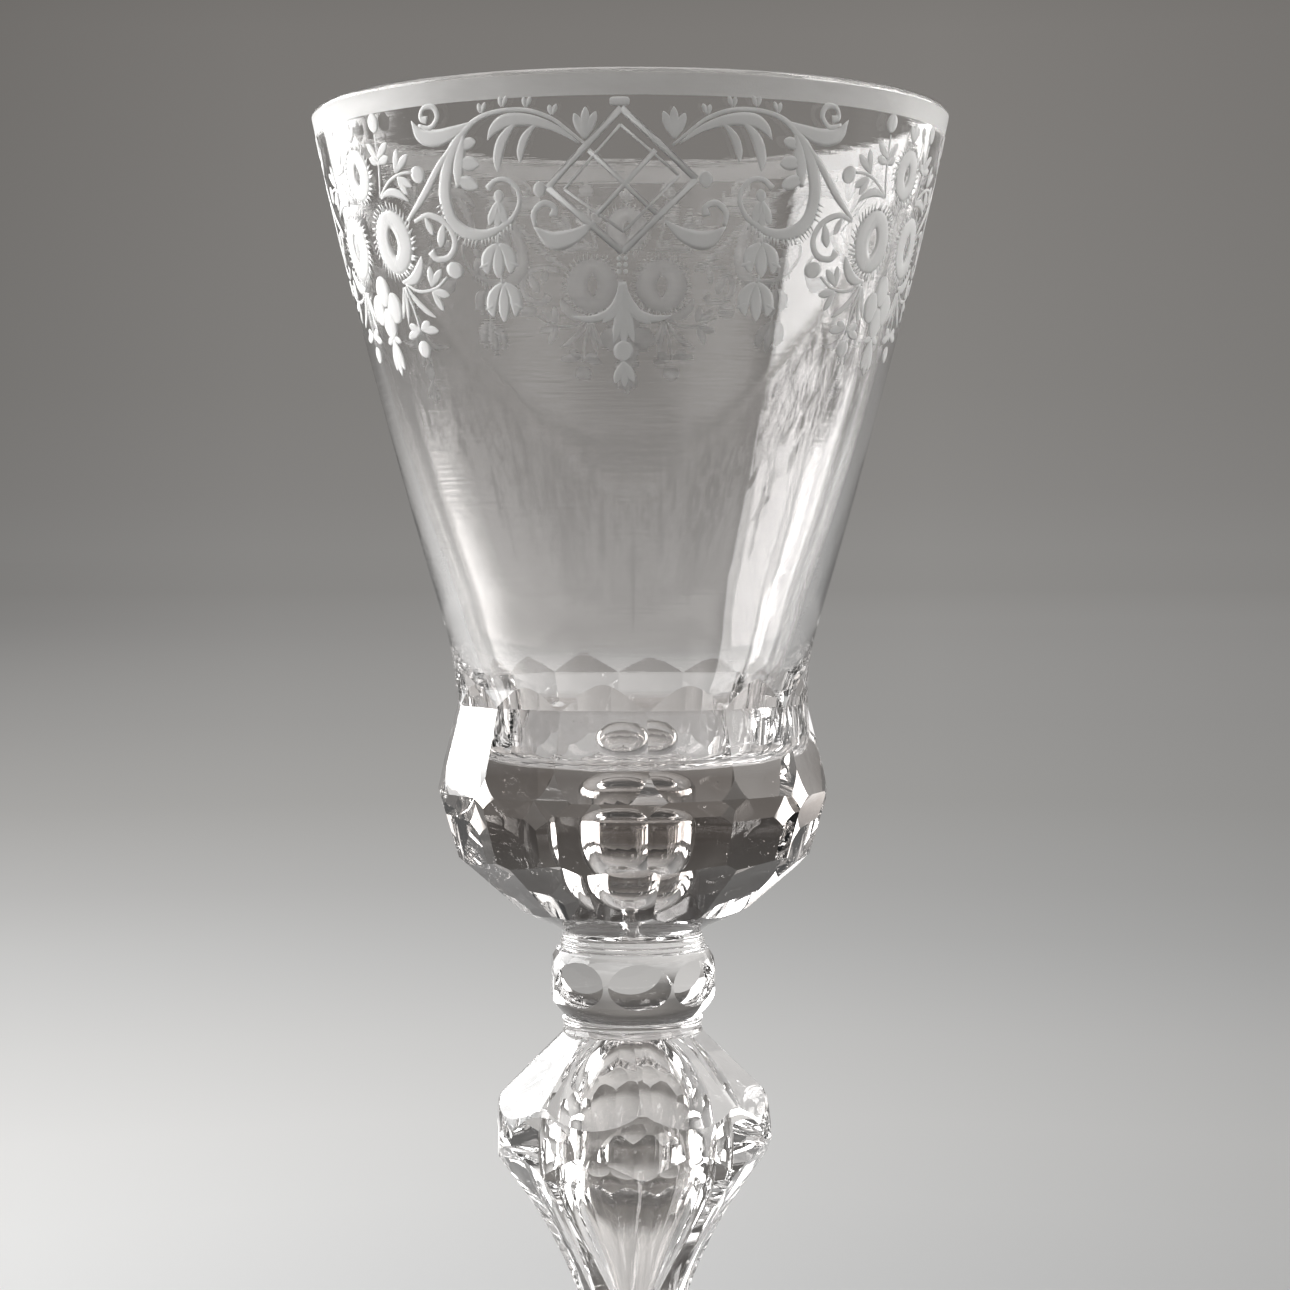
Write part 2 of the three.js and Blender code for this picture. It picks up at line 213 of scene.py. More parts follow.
# %% [markdown]
# The blank is then cut down to that block within a band of heights. A Boolean modifier does it,
# and it carries the stroke numbers over to the new faces. A hollow flute is cut the same way, by a
# bar whose inner side is curved.

# %% Grind the flats and hollow the flutes
band_columns = 24


def carve(work, tool):
    """Takes the tool's shape away from the work, and puts the tool away."""
    change = work.modifiers.new("carve", "BOOLEAN")
    change.operation, change.solver, change.object = "DIFFERENCE", "MANIFOLD", tool
    ready = bpy.context.evaluated_depsgraph_get()
    mesh = bpy.data.meshes.new_from_object(work.evaluated_get(ready))
    work.modifiers.clear()
    work.data = mesh
    bpy.data.objects.remove(tool)


def grind(work, wheels, bottom, top):
    """Cuts work down to the block between the wheels, from one height to another."""
    corners = [(0, bottom), (FAR, bottom), (FAR, top), (0, top)]
    band = turn("band", [straight(*pair) for pair in zip(corners, corners[1:])], band_columns)
    band.data.attributes["stroke"].data.foreach_set("value", [CUT] * len(band.data.polygons))
    carve(band, block_between(wheels))
    before = len(work.data.polygons)
    carve(work, band)
    print(f"{work.name}: {len(wheels)} flats, {before} to {len(work.data.polygons)} faces")


def hollow_out(work, line, angle_degrees, number):
    """Grinds away what lies outside a curved (distance, height) line, square to that direction."""
    out_x, out_y = heading(angle_degrees)
    section = [*line, (FAR, line[-1][1]), (FAR, line[0][1])]
    points = [(out_x * d - out_y * side, out_y * d + out_x * side, z)
              for side in (-FAR, FAR) for d, z in section]
    n = len(section)
    faces = [list(range(n)), list(range(2 * n - 1, n - 1, -1))]
    faces += [[(i + 1) % n, i, n + i, n + (i + 1) % n] for i in range(n)]
    tool = object_from("hollow", points, faces, [CUT] * 2 + [HOLLOW + number] * n)
    shape = bmesh.new()
    shape.from_mesh(tool.data)
    settle(shape, tool.data)
    carve(work, tool)


# %% [markdown]
# Light on cut glass. A turned face borrows its direction from its own curve, so that it stays
# smooth up to the edge of a cut, and a cut face has one direction all over, so that it is flat to
# the edge, as a polished facet is. Blender takes both as custom normals.

# %% Directions along a stroke
def stroke_normals(stroke):
    along = np.gradient(stroke, axis=0)
    out = np.stack([along[:, 1], -along[:, 0]], 1)
    return out / np.linalg.norm(out, axis=1)[:, None]


def nearest_on_stroke(stroke, spots):
    """For each (radius, height) spot, the normal of the stroke at its nearest place."""
    normals = stroke_normals(stroke)
    start, step = stroke[:-1], stroke[1:] - stroke[:-1]
    square = (step ** 2).sum(1)
    best, found = np.full(len(spots), np.inf), np.zeros((len(spots), 2))
    for i in range(len(start)):
        share = np.clip(((spots - start[i]) @ step[i]) / square[i], 0, 1)[:, None]
        gap = ((spots - start[i] - share * step[i]) ** 2).sum(1)
        closer = gap < best
        best[closer] = gap[closer]
        found[closer] = (normals[i] * (1 - share) + normals[i + 1] * share)[closer]
    return found / np.linalg.norm(found, axis=1)[:, None]


print("an upright stroke faces", stroke_normals(straight((1, 0), (1, 1)))[0].tolist())

# %% [markdown]
# Every corner of every face gets a direction: from the stroke of its face where it was turned,
# from the curve of the hollow where a flute was ground, and from the face itself where it was cut
# flat.

# %% Directions of the finished surfaces
def read_numbers(items, name):
    values = np.zeros(len(items), np.int32)
    items.foreach_get(name, values)
    return values


def read_vectors(items, name):
    values = np.zeros(len(items) * 3, np.float32)
    items.foreach_get(name, values)
    return values.reshape(-1, 3).astype(float)


def polish(work, strokes, hollows):
    """Sets the light direction at every corner of every face. hollows are the curved cuts."""
    mesh = work.data
    mesh.polygons.foreach_set("use_smooth", [True] * len(mesh.polygons))
    count = read_numbers(mesh.polygons, "loop_total")
    marks = np.repeat(read_numbers(mesh.attributes["stroke"].data, "value"), count)
    normals = np.repeat(read_vectors(mesh.polygons, "normal"), count, axis=0)
    spots = read_vectors(mesh.vertices, "co")[read_numbers(mesh.loops, "vertex_index")]
    for number, stroke in enumerate(strokes):
        chosen = marks == number
        if not chosen.any():
            continue
        x, y, z = spots[chosen].T
        radius = np.hypot(x, y)
        out = nearest_on_stroke(stroke, np.stack([radius, z], 1))
        safe = np.maximum(radius, nearly_nothing)
        normals[chosen] = np.stack([out[:, 0] * x / safe, out[:, 0] * y / safe, out[:, 1]], 1)
    for number, (angle_degrees, line) in enumerate(hollows):
        chosen = marks == HOLLOW + number
        out_x, out_y = heading(angle_degrees)
        x, y, z = spots[chosen].T
        out = nearest_on_stroke(line, np.stack([x * out_x + y * out_y, z], 1))
        normals[chosen] = np.stack([out[:, 0] * out_x, out[:, 0] * out_y, out[:, 1]], 1)
    mesh.normals_split_custom_set([tuple(n) for n in normals])


# %% [markdown]
# Finishes. Shader maths reads best as plain arithmetic, so a small class wraps one socket and
# turns +, -, * and / into Math nodes. Every other node comes from one method of the finish, which
# takes the kind of node, its settings, and what goes into its sockets.

# %% A socket that can be added, multiplied and mixed
class Value:
    """One socket. Arithmetic with it adds Math nodes."""

    def __init__(self, finish, socket):
        self.finish, self.socket = finish, socket

    def __add__(self, other):
        return self.finish.maths("ADD", self, other)

    def __radd__(self, other):
        return self.finish.maths("ADD", other, self)

    def __sub__(self, other):
        return self.finish.maths("SUBTRACT", self, other)

    def __rsub__(self, other):
        return self.finish.maths("SUBTRACT", other, self)

    def __mul__(self, other):
        return self.finish.maths("MULTIPLY", self, other)

    def __rmul__(self, other):
        return self.finish.maths("MULTIPLY", other, self)

    def __truediv__(self, other):
        return self.finish.maths("DIVIDE", self, other)

    def __rtruediv__(self, other):
        return self.finish.maths("DIVIDE", other, self)


# %% [markdown]
# The finish itself. One method makes any node, and four more write out what comes up again and
# again: a Math node, a range drawn out to another, two colours mixed, and noise.

# %% A finish and its nodes
class Finish:
    """The nodes of a material, a world or a lamp, being put together."""

    def __init__(self, owner, output="OutputMaterial"):
        self.owner, self.output = owner, output
        owner.use_nodes = True
        self.tree = owner.node_tree
        self.tree.nodes.clear()

    def node(self, kind, settings=None, inputs=(), out=0):
        made = self.tree.nodes.new("ShaderNode" + kind)
        for key, value in (settings or {}).items():
            if key == "stops":
                ramp = made.color_ramp
                while len(ramp.elements) < len(value):
                    ramp.elements.new(0.5)
                for element, (place, shade) in zip(ramp.elements, value):
                    element.position = place
                    element.color = (*shade, 1) if hasattr(shade, "__len__") else (*[shade] * 3, 1)
            else:
                setattr(made, key, value)
        pairs = inputs.items() if isinstance(inputs, dict) else enumerate(inputs)
        for key, value in pairs:
            if isinstance(value, Value):
                self.tree.links.new(value.socket, made.inputs[key])
            else:
                made.inputs[key].default_value = value
        return Value(self, made.outputs[out])

    def surface(self, shader):
        end = self.tree.nodes.new("ShaderNode" + self.output)
        self.tree.links.new(shader.socket, end.inputs["Surface"])
        return self.owner

    def maths(self, operation, *inputs, **settings):
        return self.node("Math", {"operation": operation, **settings}, inputs)

    def drawn_out(self, value, start, end, low=0.0, high=1.0, step="LINEAR"):
        """low up to start, high from end on, and a straight or a soft step between."""
        return self.node("MapRange", {"interpolation_type": step}, {
            "Value": value, "From Min": start, "From Max": end, "To Min": low, "To Max": high})

    def blended(self, share, first, second, how="MIX"):
        """Two colours mixed by a share, which may be a number or a Value."""
        return self.node("Mix", {"data_type": "RGBA", "blend_type": how},
                         {0: share, 6: first, 7: second}, out=2)

    def noise(self, place, scale, detail, roughness=0.5):
        return self.node("TexNoise", {}, {"Vector": place, "Scale": scale, "Detail": detail,
                                          "Roughness": roughness})


# %% [markdown]
# Clear glass. The metal of this glass is old potash glass: colourless at a glance, faintly grey
# and mauve where it is thick. Its skin isn't flat either. Blown walls keep long, level ripples
# from being turned on the iron, and polished flats keep the faint drag of the wooden wheel. Both
# are bumps of about a hundredth of a millimetre, so they go in the Normal, and the body is a
# Principled shader with full transmission and the refraction of potash glass. The flats of the
# bowl's base take a deeper shade, because the glass behind them is thick up to the floor of the
# bowl. Above the floor the shade thins out. In the arches a part of it comes back as painted
# shade, which darkens the thin glass there so that the row of arches stands out.

# %% Clear glass in four skins
glass_ior = 1.51
glass_shade = (0.972, 0.962, 0.958, 1)
smoky_shade = (0.90, 0.872, 0.85, 1)
# The deep shade is the colour of the thick glass, and in the arches it is painted shade
deep_and_arch_shade = (0.42, 0.378, 0.352, 1)
# How much of the deep shade shows at each height of the bowl. The heights are shares of
# depth_span, which is in millimetres up from the joint of the bowl. The last share, in the
# arches, is painted shade.
depth_span = 100
bowl_depth_and_arch_shade = [(0.12, 0.55), (0.18, 1.0), (0.25, 1.0), (0.28, 0.15), (0.335, 0.15), (0.345, 0.6)]
cloud_scale, patch_limits = 90.0, (0.45, 0.62)
wear_scale, wear_roughness = 900.0, 0.02
# Ripples in waves per metre (x, y, z), and how deep they are in millimetres
flat_ripples, turned_ripples, wall_ripples = (120, 120, 120), (60, 60, 320), (60, 60, 1500)
polished_depth, wall_depth = 0.006, 0.014


def clear_glass(name, ripples=flat_ripples, ripple_depth=polished_depth, smoky=0.0,
                shade=smoky_shade, patchy=0.0, by_height=None):
    """smoky is how much of the shade shows, by_height its share up the bowl."""
    finish = Finish(bpy.data.materials.new(name))
    place = finish.node("TexCoord", out="Object")
    stretched = finish.node("Mapping", {}, {"Vector": place, "Scale": ripples})
    ripple = finish.noise(stretched, 1.0, 3.0, 0.55)
    cloud = finish.noise(place, cloud_scale, 2.0)
    patch = finish.drawn_out(cloud, *patch_limits, 1.0 - patchy, 1.0)
    shade_share = (0.5 + cloud) * smoky
    # On the bowl the shade by height includes painted shade in the arches
    if by_height:
        height = finish.node("SeparateXYZ", {}, [place], out="Z") / MM
        shade_share = shade_share * finish.node("ValToRGB", {"stops": by_height},
                                    [(height - piece_level("bowl")) / depth_span])
    bump = finish.node("Bump", {}, {"Strength": 1.0, "Distance": ripple_depth * MM,
                                    "Height": ripple * patch})
    wear = finish.noise(place, wear_scale, 4.0, 0.7)
    return finish.surface(finish.node("BsdfPrincipled", {}, {
        "Base Color": finish.blended(shade_share, glass_shade, shade), "Roughness": wear * wear_roughness,
        "IOR": glass_ior, "Transmission Weight": 1.0, "Normal": bump}))


blown_wall = clear_glass("blown_wall", wall_ripples, wall_depth, patchy=0.8)
turned_glass = clear_glass("turned_glass", turned_ripples, smoky=0.4)
cut_glass = clear_glass("cut_glass", smoky=0.4)
# The bowl's cut faces: the deeper colour of thick glass in the base, and painted shade in the arches
thick_glass_and_arch_shade = clear_glass("thick_glass_and_arch_shade", smoky=1.0, shade=deep_and_arch_shade, by_height=bowl_depth_and_arch_shade)
print("clear glass:", blown_wall.name, turned_glass.name, cut_glass.name, thick_glass_and_arch_shade.name)

# %% [markdown]
# Ground glass. A band under the rim was ground dull all the way round, and the lip above it was
# polished again. Ground glass is still glass, with a skin of tiny pits that spreads light, so it
# is the same shader with a high roughness that varies in streaks.

# %% Ground glass for the band under the rim
streaks = (130, 130, 420)
pit_scale, pit_depth = 5200.0, 0.03
dull_shade, bright_shade = (0.80, 0.79, 0.77, 1), (1.0, 0.99, 0.98, 1)
least_rough, streak_rough, let_through = 0.38, 0.35, 0.55

finish = Finish(bpy.data.materials.new("ground_band"))
place = finish.node("TexCoord", out="Object")
stretched = finish.node("Mapping", {}, {"Vector": place, "Scale": streaks})
mottle = finish.noise(stretched, 1.0, 6.0, 0.7)
pits = finish.noise(place, pit_scale, 2.0)
bump = finish.node("Bump", {}, {"Strength": 0.6, "Distance": pit_depth * MM,
                                "Height": pits + mottle * 0.5})
ground_band = finish.surface(finish.node("BsdfPrincipled", {}, {
    "Base Color": finish.blended(mottle, dull_shade, bright_shade),
    "Roughness": least_rough + mottle * streak_rough, "IOR": glass_ior,
    "Transmission Weight": let_through, "Normal": bump}))
print("ground glass:", ground_band.name)

# %% [markdown]
# The joints. Two pieces were fused while they were hot, so where they touch they are one glass and
# nothing shows. Faces in a joint are therefore see-through all over.

# %% Fused joint
finish = Finish(bpy.data.materials.new("fused_joint"))
fused_joint = finish.surface(finish.node("BsdfPrincipled", {}, {
    "Alpha": 0.0, "IOR": 1.0, "Roughness": 1.0}))
print("joints:", fused_joint.name)

# %% [markdown]
# Putting a piece in its place. A finished piece gets its materials by stroke, is shrunk to metres,
# lifted to its own level, and rides on the body of the frame in the place of its plain node.

# %% Dress and place a piece
def place_piece(work, node, strokes, finishes, cut_finish=cut_glass, hollows=()):
    """finishes has one finish for each stroke, and cut_finish is for all that was cut."""
    polish(work, strokes, hollows)
    mesh, level = work.data, piece_level(node)
    palette = list(dict.fromkeys([*finishes, cut_finish]))
    mesh.materials.clear()
    for finish in palette:
        mesh.materials.append(finish)
    marks = read_numbers(mesh.attributes["stroke"].data, "value")
    slots = [palette.index(finishes[m] if m < CUT else cut_finish) for m in marks]
    mesh.polygons.foreach_set("material_index", slots)
    mesh.attributes.remove(mesh.attributes["stroke"])
    mesh.transform(Matrix.Translation((0, 0, level * MM)) @ Matrix.Scale(MM, 4))
    mesh.update()
    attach(work, "root")
    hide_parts(node)
    print(f"{work.name}: {len(mesh.polygons)} faces, {len(palette)} finishes, at {level:.2f} mm")


# %% [markdown]
# The foot is outside the photograph, so it is of the kind such glasses have: a wide disc drawn
# from one gather, thin at the edge, swelling softly to the stem. Below, it stands on a ground ring
# and rises to a hollow with the polished scar of the pontil iron in its middle.

# %% Foot
foot_height = 17.4
foot_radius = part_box("foot")[1].x / MM
foot_edge_thickness, foot_edge_lift = 2.8, 0.02
foot_neck_radius, foot_neck_pull = 7.4, 8.9
foot_rise_pull, foot_shoulder = (28.1, 4.4), (20.0, 6.4)
rest_ring = (38.0, 44.0)
kick_height, kick_radius, kick_pull = 5.2, 24.0, 0.9
pontil_radius, pontil_depth, pontil_pull = 9.0, 1.1, 0.7

edge_round = foot_edge_thickness / 2
edge_start = foot_radius - edge_round
foot_top = foot_height + joint_reach
scar_height = kick_height + pontil_depth
foot_strokes = [
    bend((0, scar_height), (pontil_radius * pontil_pull, scar_height),
         (pontil_radius, kick_height), 12),
    bend((pontil_radius, kick_height), (kick_radius, kick_height * kick_pull),
         (rest_ring[0], 0), 32),
    straight((rest_ring[0], 0), (rest_ring[1], 0)),
    joined(straight((rest_ring[1], 0), (edge_start, foot_edge_lift)),
           arc((edge_start, edge_round), edge_round, -90, 90, 20),
           bend((edge_start, foot_edge_thickness), foot_rise_pull, foot_shoulder, 32),
           bend(foot_shoulder, (foot_neck_radius, foot_neck_pull), (foot_neck_radius, foot_top),
                32)),
    straight((foot_neck_radius, foot_top), (0, foot_top)),
]
foot = turn("foot_glass_body", foot_strokes)
place_piece(foot, "foot", foot_strokes,
            [turned_glass, turned_glass, cut_glass, turned_glass, fused_joint])

# %% [markdown]
# The lower collar and knop are hidden too. A pinched disc and a plain pressed ball join the foot
# to the baluster, each turned from its own small gather.

# %% Foot collar and lower knop
collar_height, collar_radius, collar_neck = 2.4, 9.6, 7.6
knop_height, low_knop_radius, low_knop_joint, knop_narrowing = 10.5, 9.6, 6.9, 0.4
knop_pulls = (0.25, 0.75)


def capped(side):
    """A side stroke closed by a fused joint below and above, reaching half a hairline out."""
    foot_spot = (side[0][0], side[0][1] - joint_reach)
    head_spot = (side[-1][0], side[-1][1] + joint_reach)
    full = joined(straight(foot_spot, side[0]), side, straight(side[-1], head_spot))
    return [straight((0, foot_spot[1]), foot_spot), full, straight(head_spot, (0, head_spot[1]))]


def stem_piece(node, side, wheels=(), band=(0, 0)):
    """A plain piece of the stem, turned to its side stroke and perhaps touched by wheels."""
    strokes = capped(side)
    work = turn(node + "_glass", strokes)
    if wheels:
        grind(work, wheels, *band)
    place_piece(work, node, strokes, [fused_joint, turned_glass, fused_joint])


half_collar = collar_height / 2
stem_piece("foot_collar", joined(
    bend((collar_neck, 0), (collar_radius, 0), (collar_radius, half_collar), 16),
    bend((collar_radius, half_collar), (collar_radius, collar_height),
         (collar_neck, collar_height), 16)))
half_knop = knop_height / 2
stem_piece("foot_knop", joined(
    sweep((low_knop_joint, 0), *((low_knop_radius, half_knop * k) for k in knop_pulls),
          (low_knop_radius, half_knop), 20),
    sweep((low_knop_radius, half_knop), *((low_knop_radius, half_knop * (1 + k)) for k in knop_pulls),
          (low_knop_joint - knop_narrowing, knop_height), 20)))

# %% [markdown]
# The baluster is an inverted pear. It was turned first, then cut with eight petals over its
# shoulder, eight flats round the widest part and eight long hollow flutes that run down to the
# knop. The petals and flutes stand between the flats, half a step round. A flute is ground along a
# curve, so it is made of many narrow flats one below the other. The blank follows the edge between
# two flutes a little inside it, which leaves the edges slightly blunt.

# %% Side of the baluster
column_count = 8
baluster_height, baluster_top_radius, baluster_foot_radius = 45.3, 10.3, 6.2
belt_radius, belt_drop = 20.7, 14.9
belt_pull_below, belt_pull_above = 3, 2.6
shoulder_radius, shoulder_drop = 19.3, 8.8
flute_foot, flute_pull, flute_top = (5.8, 0.0), (9.1, 15.8), (20.7, 30.2)
arris_blunting, flute_steps = 0.12, 20
blank_from, blank_to = 2, 15

belt_height = baluster_height - belt_drop
shoulder_height = baluster_height - shoulder_drop
flute = bend(flute_foot, flute_pull, flute_top, flute_steps)
arris = flute / [math.cos(math.pi / column_count), 1] - [arris_blunting, 0]
lower_side = arris[blank_from:blank_to]
baluster_side = joined(
    straight((baluster_foot_radius, 0), lower_side[0]), lower_side,
    bend(lower_side[-1], (belt_radius, belt_height - belt_pull_below), (belt_radius, belt_height),
         16),
    bend((belt_radius, belt_height), (belt_radius, belt_height + belt_pull_above),
         (shoulder_radius, shoulder_height), 16),
    straight((shoulder_radius, shoulder_height), (baluster_top_radius, baluster_height), 8))
print("baluster side:", len(baluster_side), "points")

# %% [markdown]
# Inside hangs an air tear, an upturned pear itself, whose neck runs down to the joint with the
# knop. It is part of the same turned profile, which starts at the top of the tear.

# %% Tear in the baluster
stem_tear_top, stem_tear_belly = 43.2, (9.4, 29.7)
stem_tear_crown_pull, stem_tear_crown_side = 4.6, 36.0
stem_tear_swell, stem_tear_taper = 22.5, (4.6, 14.0)
stem_tear_neck, stem_tear_neck_pull, stem_tear_mouth_radius = (1.2, 5.0), (1.0, 1.2), 2.0
swell_out = 0.6

baluster_strokes = capped(baluster_side)
baluster_bottom = baluster_strokes[0][-1]
stem_tear_mouth = (stem_tear_mouth_radius, baluster_bottom[1])
stem_tear = joined(
    sweep((0, stem_tear_top), (stem_tear_crown_pull, stem_tear_top),
          (stem_tear_belly[0], stem_tear_crown_side), stem_tear_belly, 40),
    sweep(stem_tear_belly, (stem_tear_belly[0] + swell_out, stem_tear_swell), stem_tear_taper,
          stem_tear_neck, 48),
    bend(stem_tear_neck, stem_tear_neck_pull, (stem_tear_mouth_radius, 0), 8),
    straight((stem_tear_mouth_radius, 0), stem_tear_mouth))
baluster_strokes[:1] = [stem_tear, straight(stem_tear_mouth, baluster_bottom)]
baluster = turn("baluster_glass", baluster_strokes)
print("tear in the baluster:", len(stem_tear), "points")

# %% [markdown]
# The flats and petals. The cutter set each one by eye, so each strays a little from its even
# place, and the flats lean a little too.

# %% Flats and petals of the baluster
column_turn = 4.0
column_step = 360 / column_count
belt_flat_distance, belt_flat_reach = 19.75, 60
petal_top_distance, petal_slope, petal_foot = 9.75, 0.93, 8
past_end = 2
belt_stray, belt_lean, petal_stray = 0.8, 0.12, 0.7
hand = random.Random(18)


def stray(most):
    """How far the hand misses, either way."""
    return hand.uniform(-most, most)


belt_wheels, petal_wheels = [], []
for i in range(column_count):
    turn_here = column_turn + column_step * i + stray(belt_stray)
    lean = stray(belt_lean)
    belt_wheels.append(wheel((belt_flat_distance + lean, 0),
                             (belt_flat_distance - lean, belt_flat_reach), turn_here))
    between = column_turn + column_step / 2 + column_step * i + stray(petal_stray)
    drop = 2 * shoulder_drop
    petal_wheels.append(wheel((petal_top_distance + petal_slope * drop, baluster_height - drop),
                              (petal_top_distance, baluster_height), between))
grind(baluster, belt_wheels, -past_end, baluster_height + past_end)
grind(baluster, petal_wheels, petal_foot, baluster_height + past_end)

# %% [markdown]
# The flutes come last. Each is ground along the same curve, which runs on a little below the
# joint, and takes its light from that curve too.

# %% Flutes of the baluster
flutes, flute_stray = [], 0.6
low_slope = (flute[1] - flute[0]) * (-past_end / (flute[1][1] - flute[0][1]))
flute_line = np.concatenate([[flute[0] + low_slope], flute])
for i in range(column_count):
    flute_turn = column_turn + column_step / 2 + column_step * i + stray(flute_stray)
    hollow_out(baluster, flute_line, flute_turn, i)
    flutes.append((flute_turn, flute_line))
place_piece(baluster, "baluster", baluster_strokes,
            [turned_glass, fused_joint, turned_glass, fused_joint], hollows=flutes)

# %% [markdown]
# Between the baluster and the bowl come a short hollow-sided ring, a ball knop and a fine double
# collar. The ball was turned round-shouldered, then eight flat ovals, called printies, were
# touched on against the wheel's face.

# %% Stem collar, ball knop and bowl collar
stem_collar_height, stem_collar_radius, stem_collar_waist = 1.7, 10.3, 9.9
ball_height, ball_radius, bulge_radius, equator_drop = 9.9, 12.6, 6.8, 4.2
printy_count, printy_turn, printy_distance = 8, 4.5, 11.75
printy_tilt, printy_stray = 0.1, 1
ring_height, ring_radius, ring_groove = 1.3, 10.6, 0.25

stem_piece("stem_collar", bend(
    (stem_collar_radius, 0), (stem_collar_waist, stem_collar_height / 2),
    (stem_collar_radius, stem_collar_height), 12))

printy_wheels = []
for i in range(printy_count):
    tilt = stray(printy_tilt)
    printy_wheels.append(wheel((printy_distance + tilt, 0), (printy_distance - tilt, ball_height),
                               printy_turn + 360 / printy_count * i + stray(printy_stray)))
equator = ball_height - equator_drop
lowest, highest = (math.degrees(math.asin(z / bulge_radius)) for z in (-equator, equator_drop))
stem_piece("ball_knop", arc((ball_radius - bulge_radius, equator), bulge_radius, lowest, highest, 40),
           printy_wheels, (-past_end, ball_height + past_end))

half_ring, quarter = ring_height / 2, ring_height / 4
ring_sides = []
for low in (0, half_ring):
    ring_sides += [bend((ring_radius - ring_groove, low), (ring_radius, low),
                        (ring_radius, low + quarter), 8),
                   bend((ring_radius, low + quarter), (ring_radius, low + half_ring),
                        (ring_radius - ring_groove, low + half_ring), 8)]
stem_piece("bowl_collar", joined(*ring_sides))

# %% [markdown]
# The bowl is one body of glass. Its profile starts at the top of the air tear, comes down the
# tear to its open mouth, goes out along the joint, up the outside, over the lip and down the
# inside to the middle of the floor. The thick base is cut in three rows of flats, the waist in a
# row of arches just above a fine ledge, and a few seeds of air hang in the thick glass.

# %% Outside of the bowl
rim_radius, rim_wall, rim_round, bowl_height = 46.1, 2.0, 0.8, 119.4
ground_band_height = 2.3
crease, crease_pull = (25.95, 34.25), (26.9, 30.4)
ledge_pull, waist, waist_pull = 35.6, (25.8, 37.2), (25.8, 40.4)
flare_foot, flare_pull = (27.2, 45.4), (39.42, 86.8)
ridge, ridge_pull_below, ridge_pull_above = (28.5, 21.8), 10.3, (28.1, 26.9)
bowl_foot_radius, foot_rise, cove_out, cove_pull = 10.24, 0.8, 0.36, 1.3
cove, cove_rise = (12.6, 2.2), (21.8, 6.2)

bowl_bottom = -joint_reach
rim_foot = (rim_radius, bowl_height - rim_round)
outer_wall = bend(flare_foot, flare_pull, rim_foot, 90)
ground_from = int(np.searchsorted(outer_wall[:, 1], rim_foot[1] - ground_band_height))
base_side = joined(
    straight((bowl_foot_radius, bowl_bottom), (bowl_foot_radius, foot_rise)),
    bend((bowl_foot_radius, foot_rise), (bowl_foot_radius + cove_out, cove_pull), cove, 12),
    sweep(cove, cove_rise, (ridge[0], ridge_pull_below), ridge, 40),
    sweep(ridge, ridge_pull_above, crease_pull, crease, 24))
wall_side = joined(bend(crease, (waist[0], ledge_pull), waist, 8),
                   bend(waist, waist_pull, flare_foot, 16), outer_wall[:ground_from])
ground_side = outer_wall[ground_from - 1:]
print("outside of the bowl:", len(base_side), len(wall_side), len(ground_side), "points")

# %% [markdown]
# The tear of the bowl has a domed top, straight sides and a neck, and its mouth opens on the
# joint below.

# %% Tear in the bowl's base
tear_top, tear_radius, tear_shoulder, tear_belly = 22.4, 6.3, 2.4, 18.4
tear_crown, tear_neck, tear_neck_above, tear_neck_below = 0.9, (1.2, 11.0), 1.4, 3.0
tear_mouth_radius = 5.0

tear_side = (tear_radius, tear_top - tear_shoulder)
tear = joined(
    bend((0, tear_top), (tear_radius * tear_crown, tear_top), tear_side, 20),
    straight(tear_side, (tear_radius, tear_belly), 2),
    bend((tear_radius, tear_belly), (tear_radius, tear_neck[1] + tear_neck_above), tear_neck, 24),
    bend(tear_neck, (tear_neck[0], tear_neck_below), (tear_mouth_radius, 0), 24),
    straight((tear_mouth_radius, 0), (tear_mouth_radius, bowl_bottom)))
joint_ring = straight((tear_mouth_radius, bowl_bottom), (bowl_foot_radius, bowl_bottom))
print("tear in the bowl:", len(tear), "points")

# %% [markdown]
# Inside, the wall goes down from the lip to a shoulder, leans in as a cone and ends in a slightly
# dished floor.

# %% Inside of the bowl
cavity_floor_height, cavity_dish, cavity_floor_radius, cavity_corner = 24.1, 0.5, 15.9, 3.6
cavity_tilt = 14.5
cavity_knee, cavity_knee_pull, cavity_shoulder = (22.7, 40.0), (24.17, 45.7), (25.9, 50.5)
inner_pull = (36.5, 80.0)

inner_rim = rim_radius - rim_wall
floor_edge = cavity_floor_height + cavity_dish
lip = joined(arc((rim_foot[0] - rim_round, rim_foot[1]), rim_round, 0, 90, 14),
             straight((rim_radius - rim_round, bowl_height), (inner_rim + rim_round, bowl_height), 2),
             arc((inner_rim + rim_round, rim_foot[1]), rim_round, 90, 180, 14))
corner_arc = arc((cavity_floor_radius, floor_edge + cavity_corner), cavity_corner,
                 -cavity_tilt, -90, 20)
inside = joined(
    bend((inner_rim, rim_foot[1]), inner_pull, cavity_shoulder, 80),
    bend(cavity_shoulder, cavity_knee_pull, cavity_knee, 16),
    straight(cavity_knee, corner_arc[0], 3), corner_arc,
    bend((cavity_floor_radius, floor_edge), (cavity_floor_radius / 2, cavity_floor_height),
         (0, cavity_floor_height), 12))
bowl_strokes = [tear, joint_ring, base_side, wall_side, ground_side, lip, inside]
bowl = turn("bowl_glass_body", bowl_strokes, 256)
print("bowl profile:", [len(s) for s in bowl_strokes], "points a stroke")

# %% [markdown]
# The cutter marked fourteen columns by eye, so they aren't quite even. The turns below follow the
# ones that face the viewer, and the others stray about as much. The lowest row was cut last, a
# few degrees further round than the rows above it.

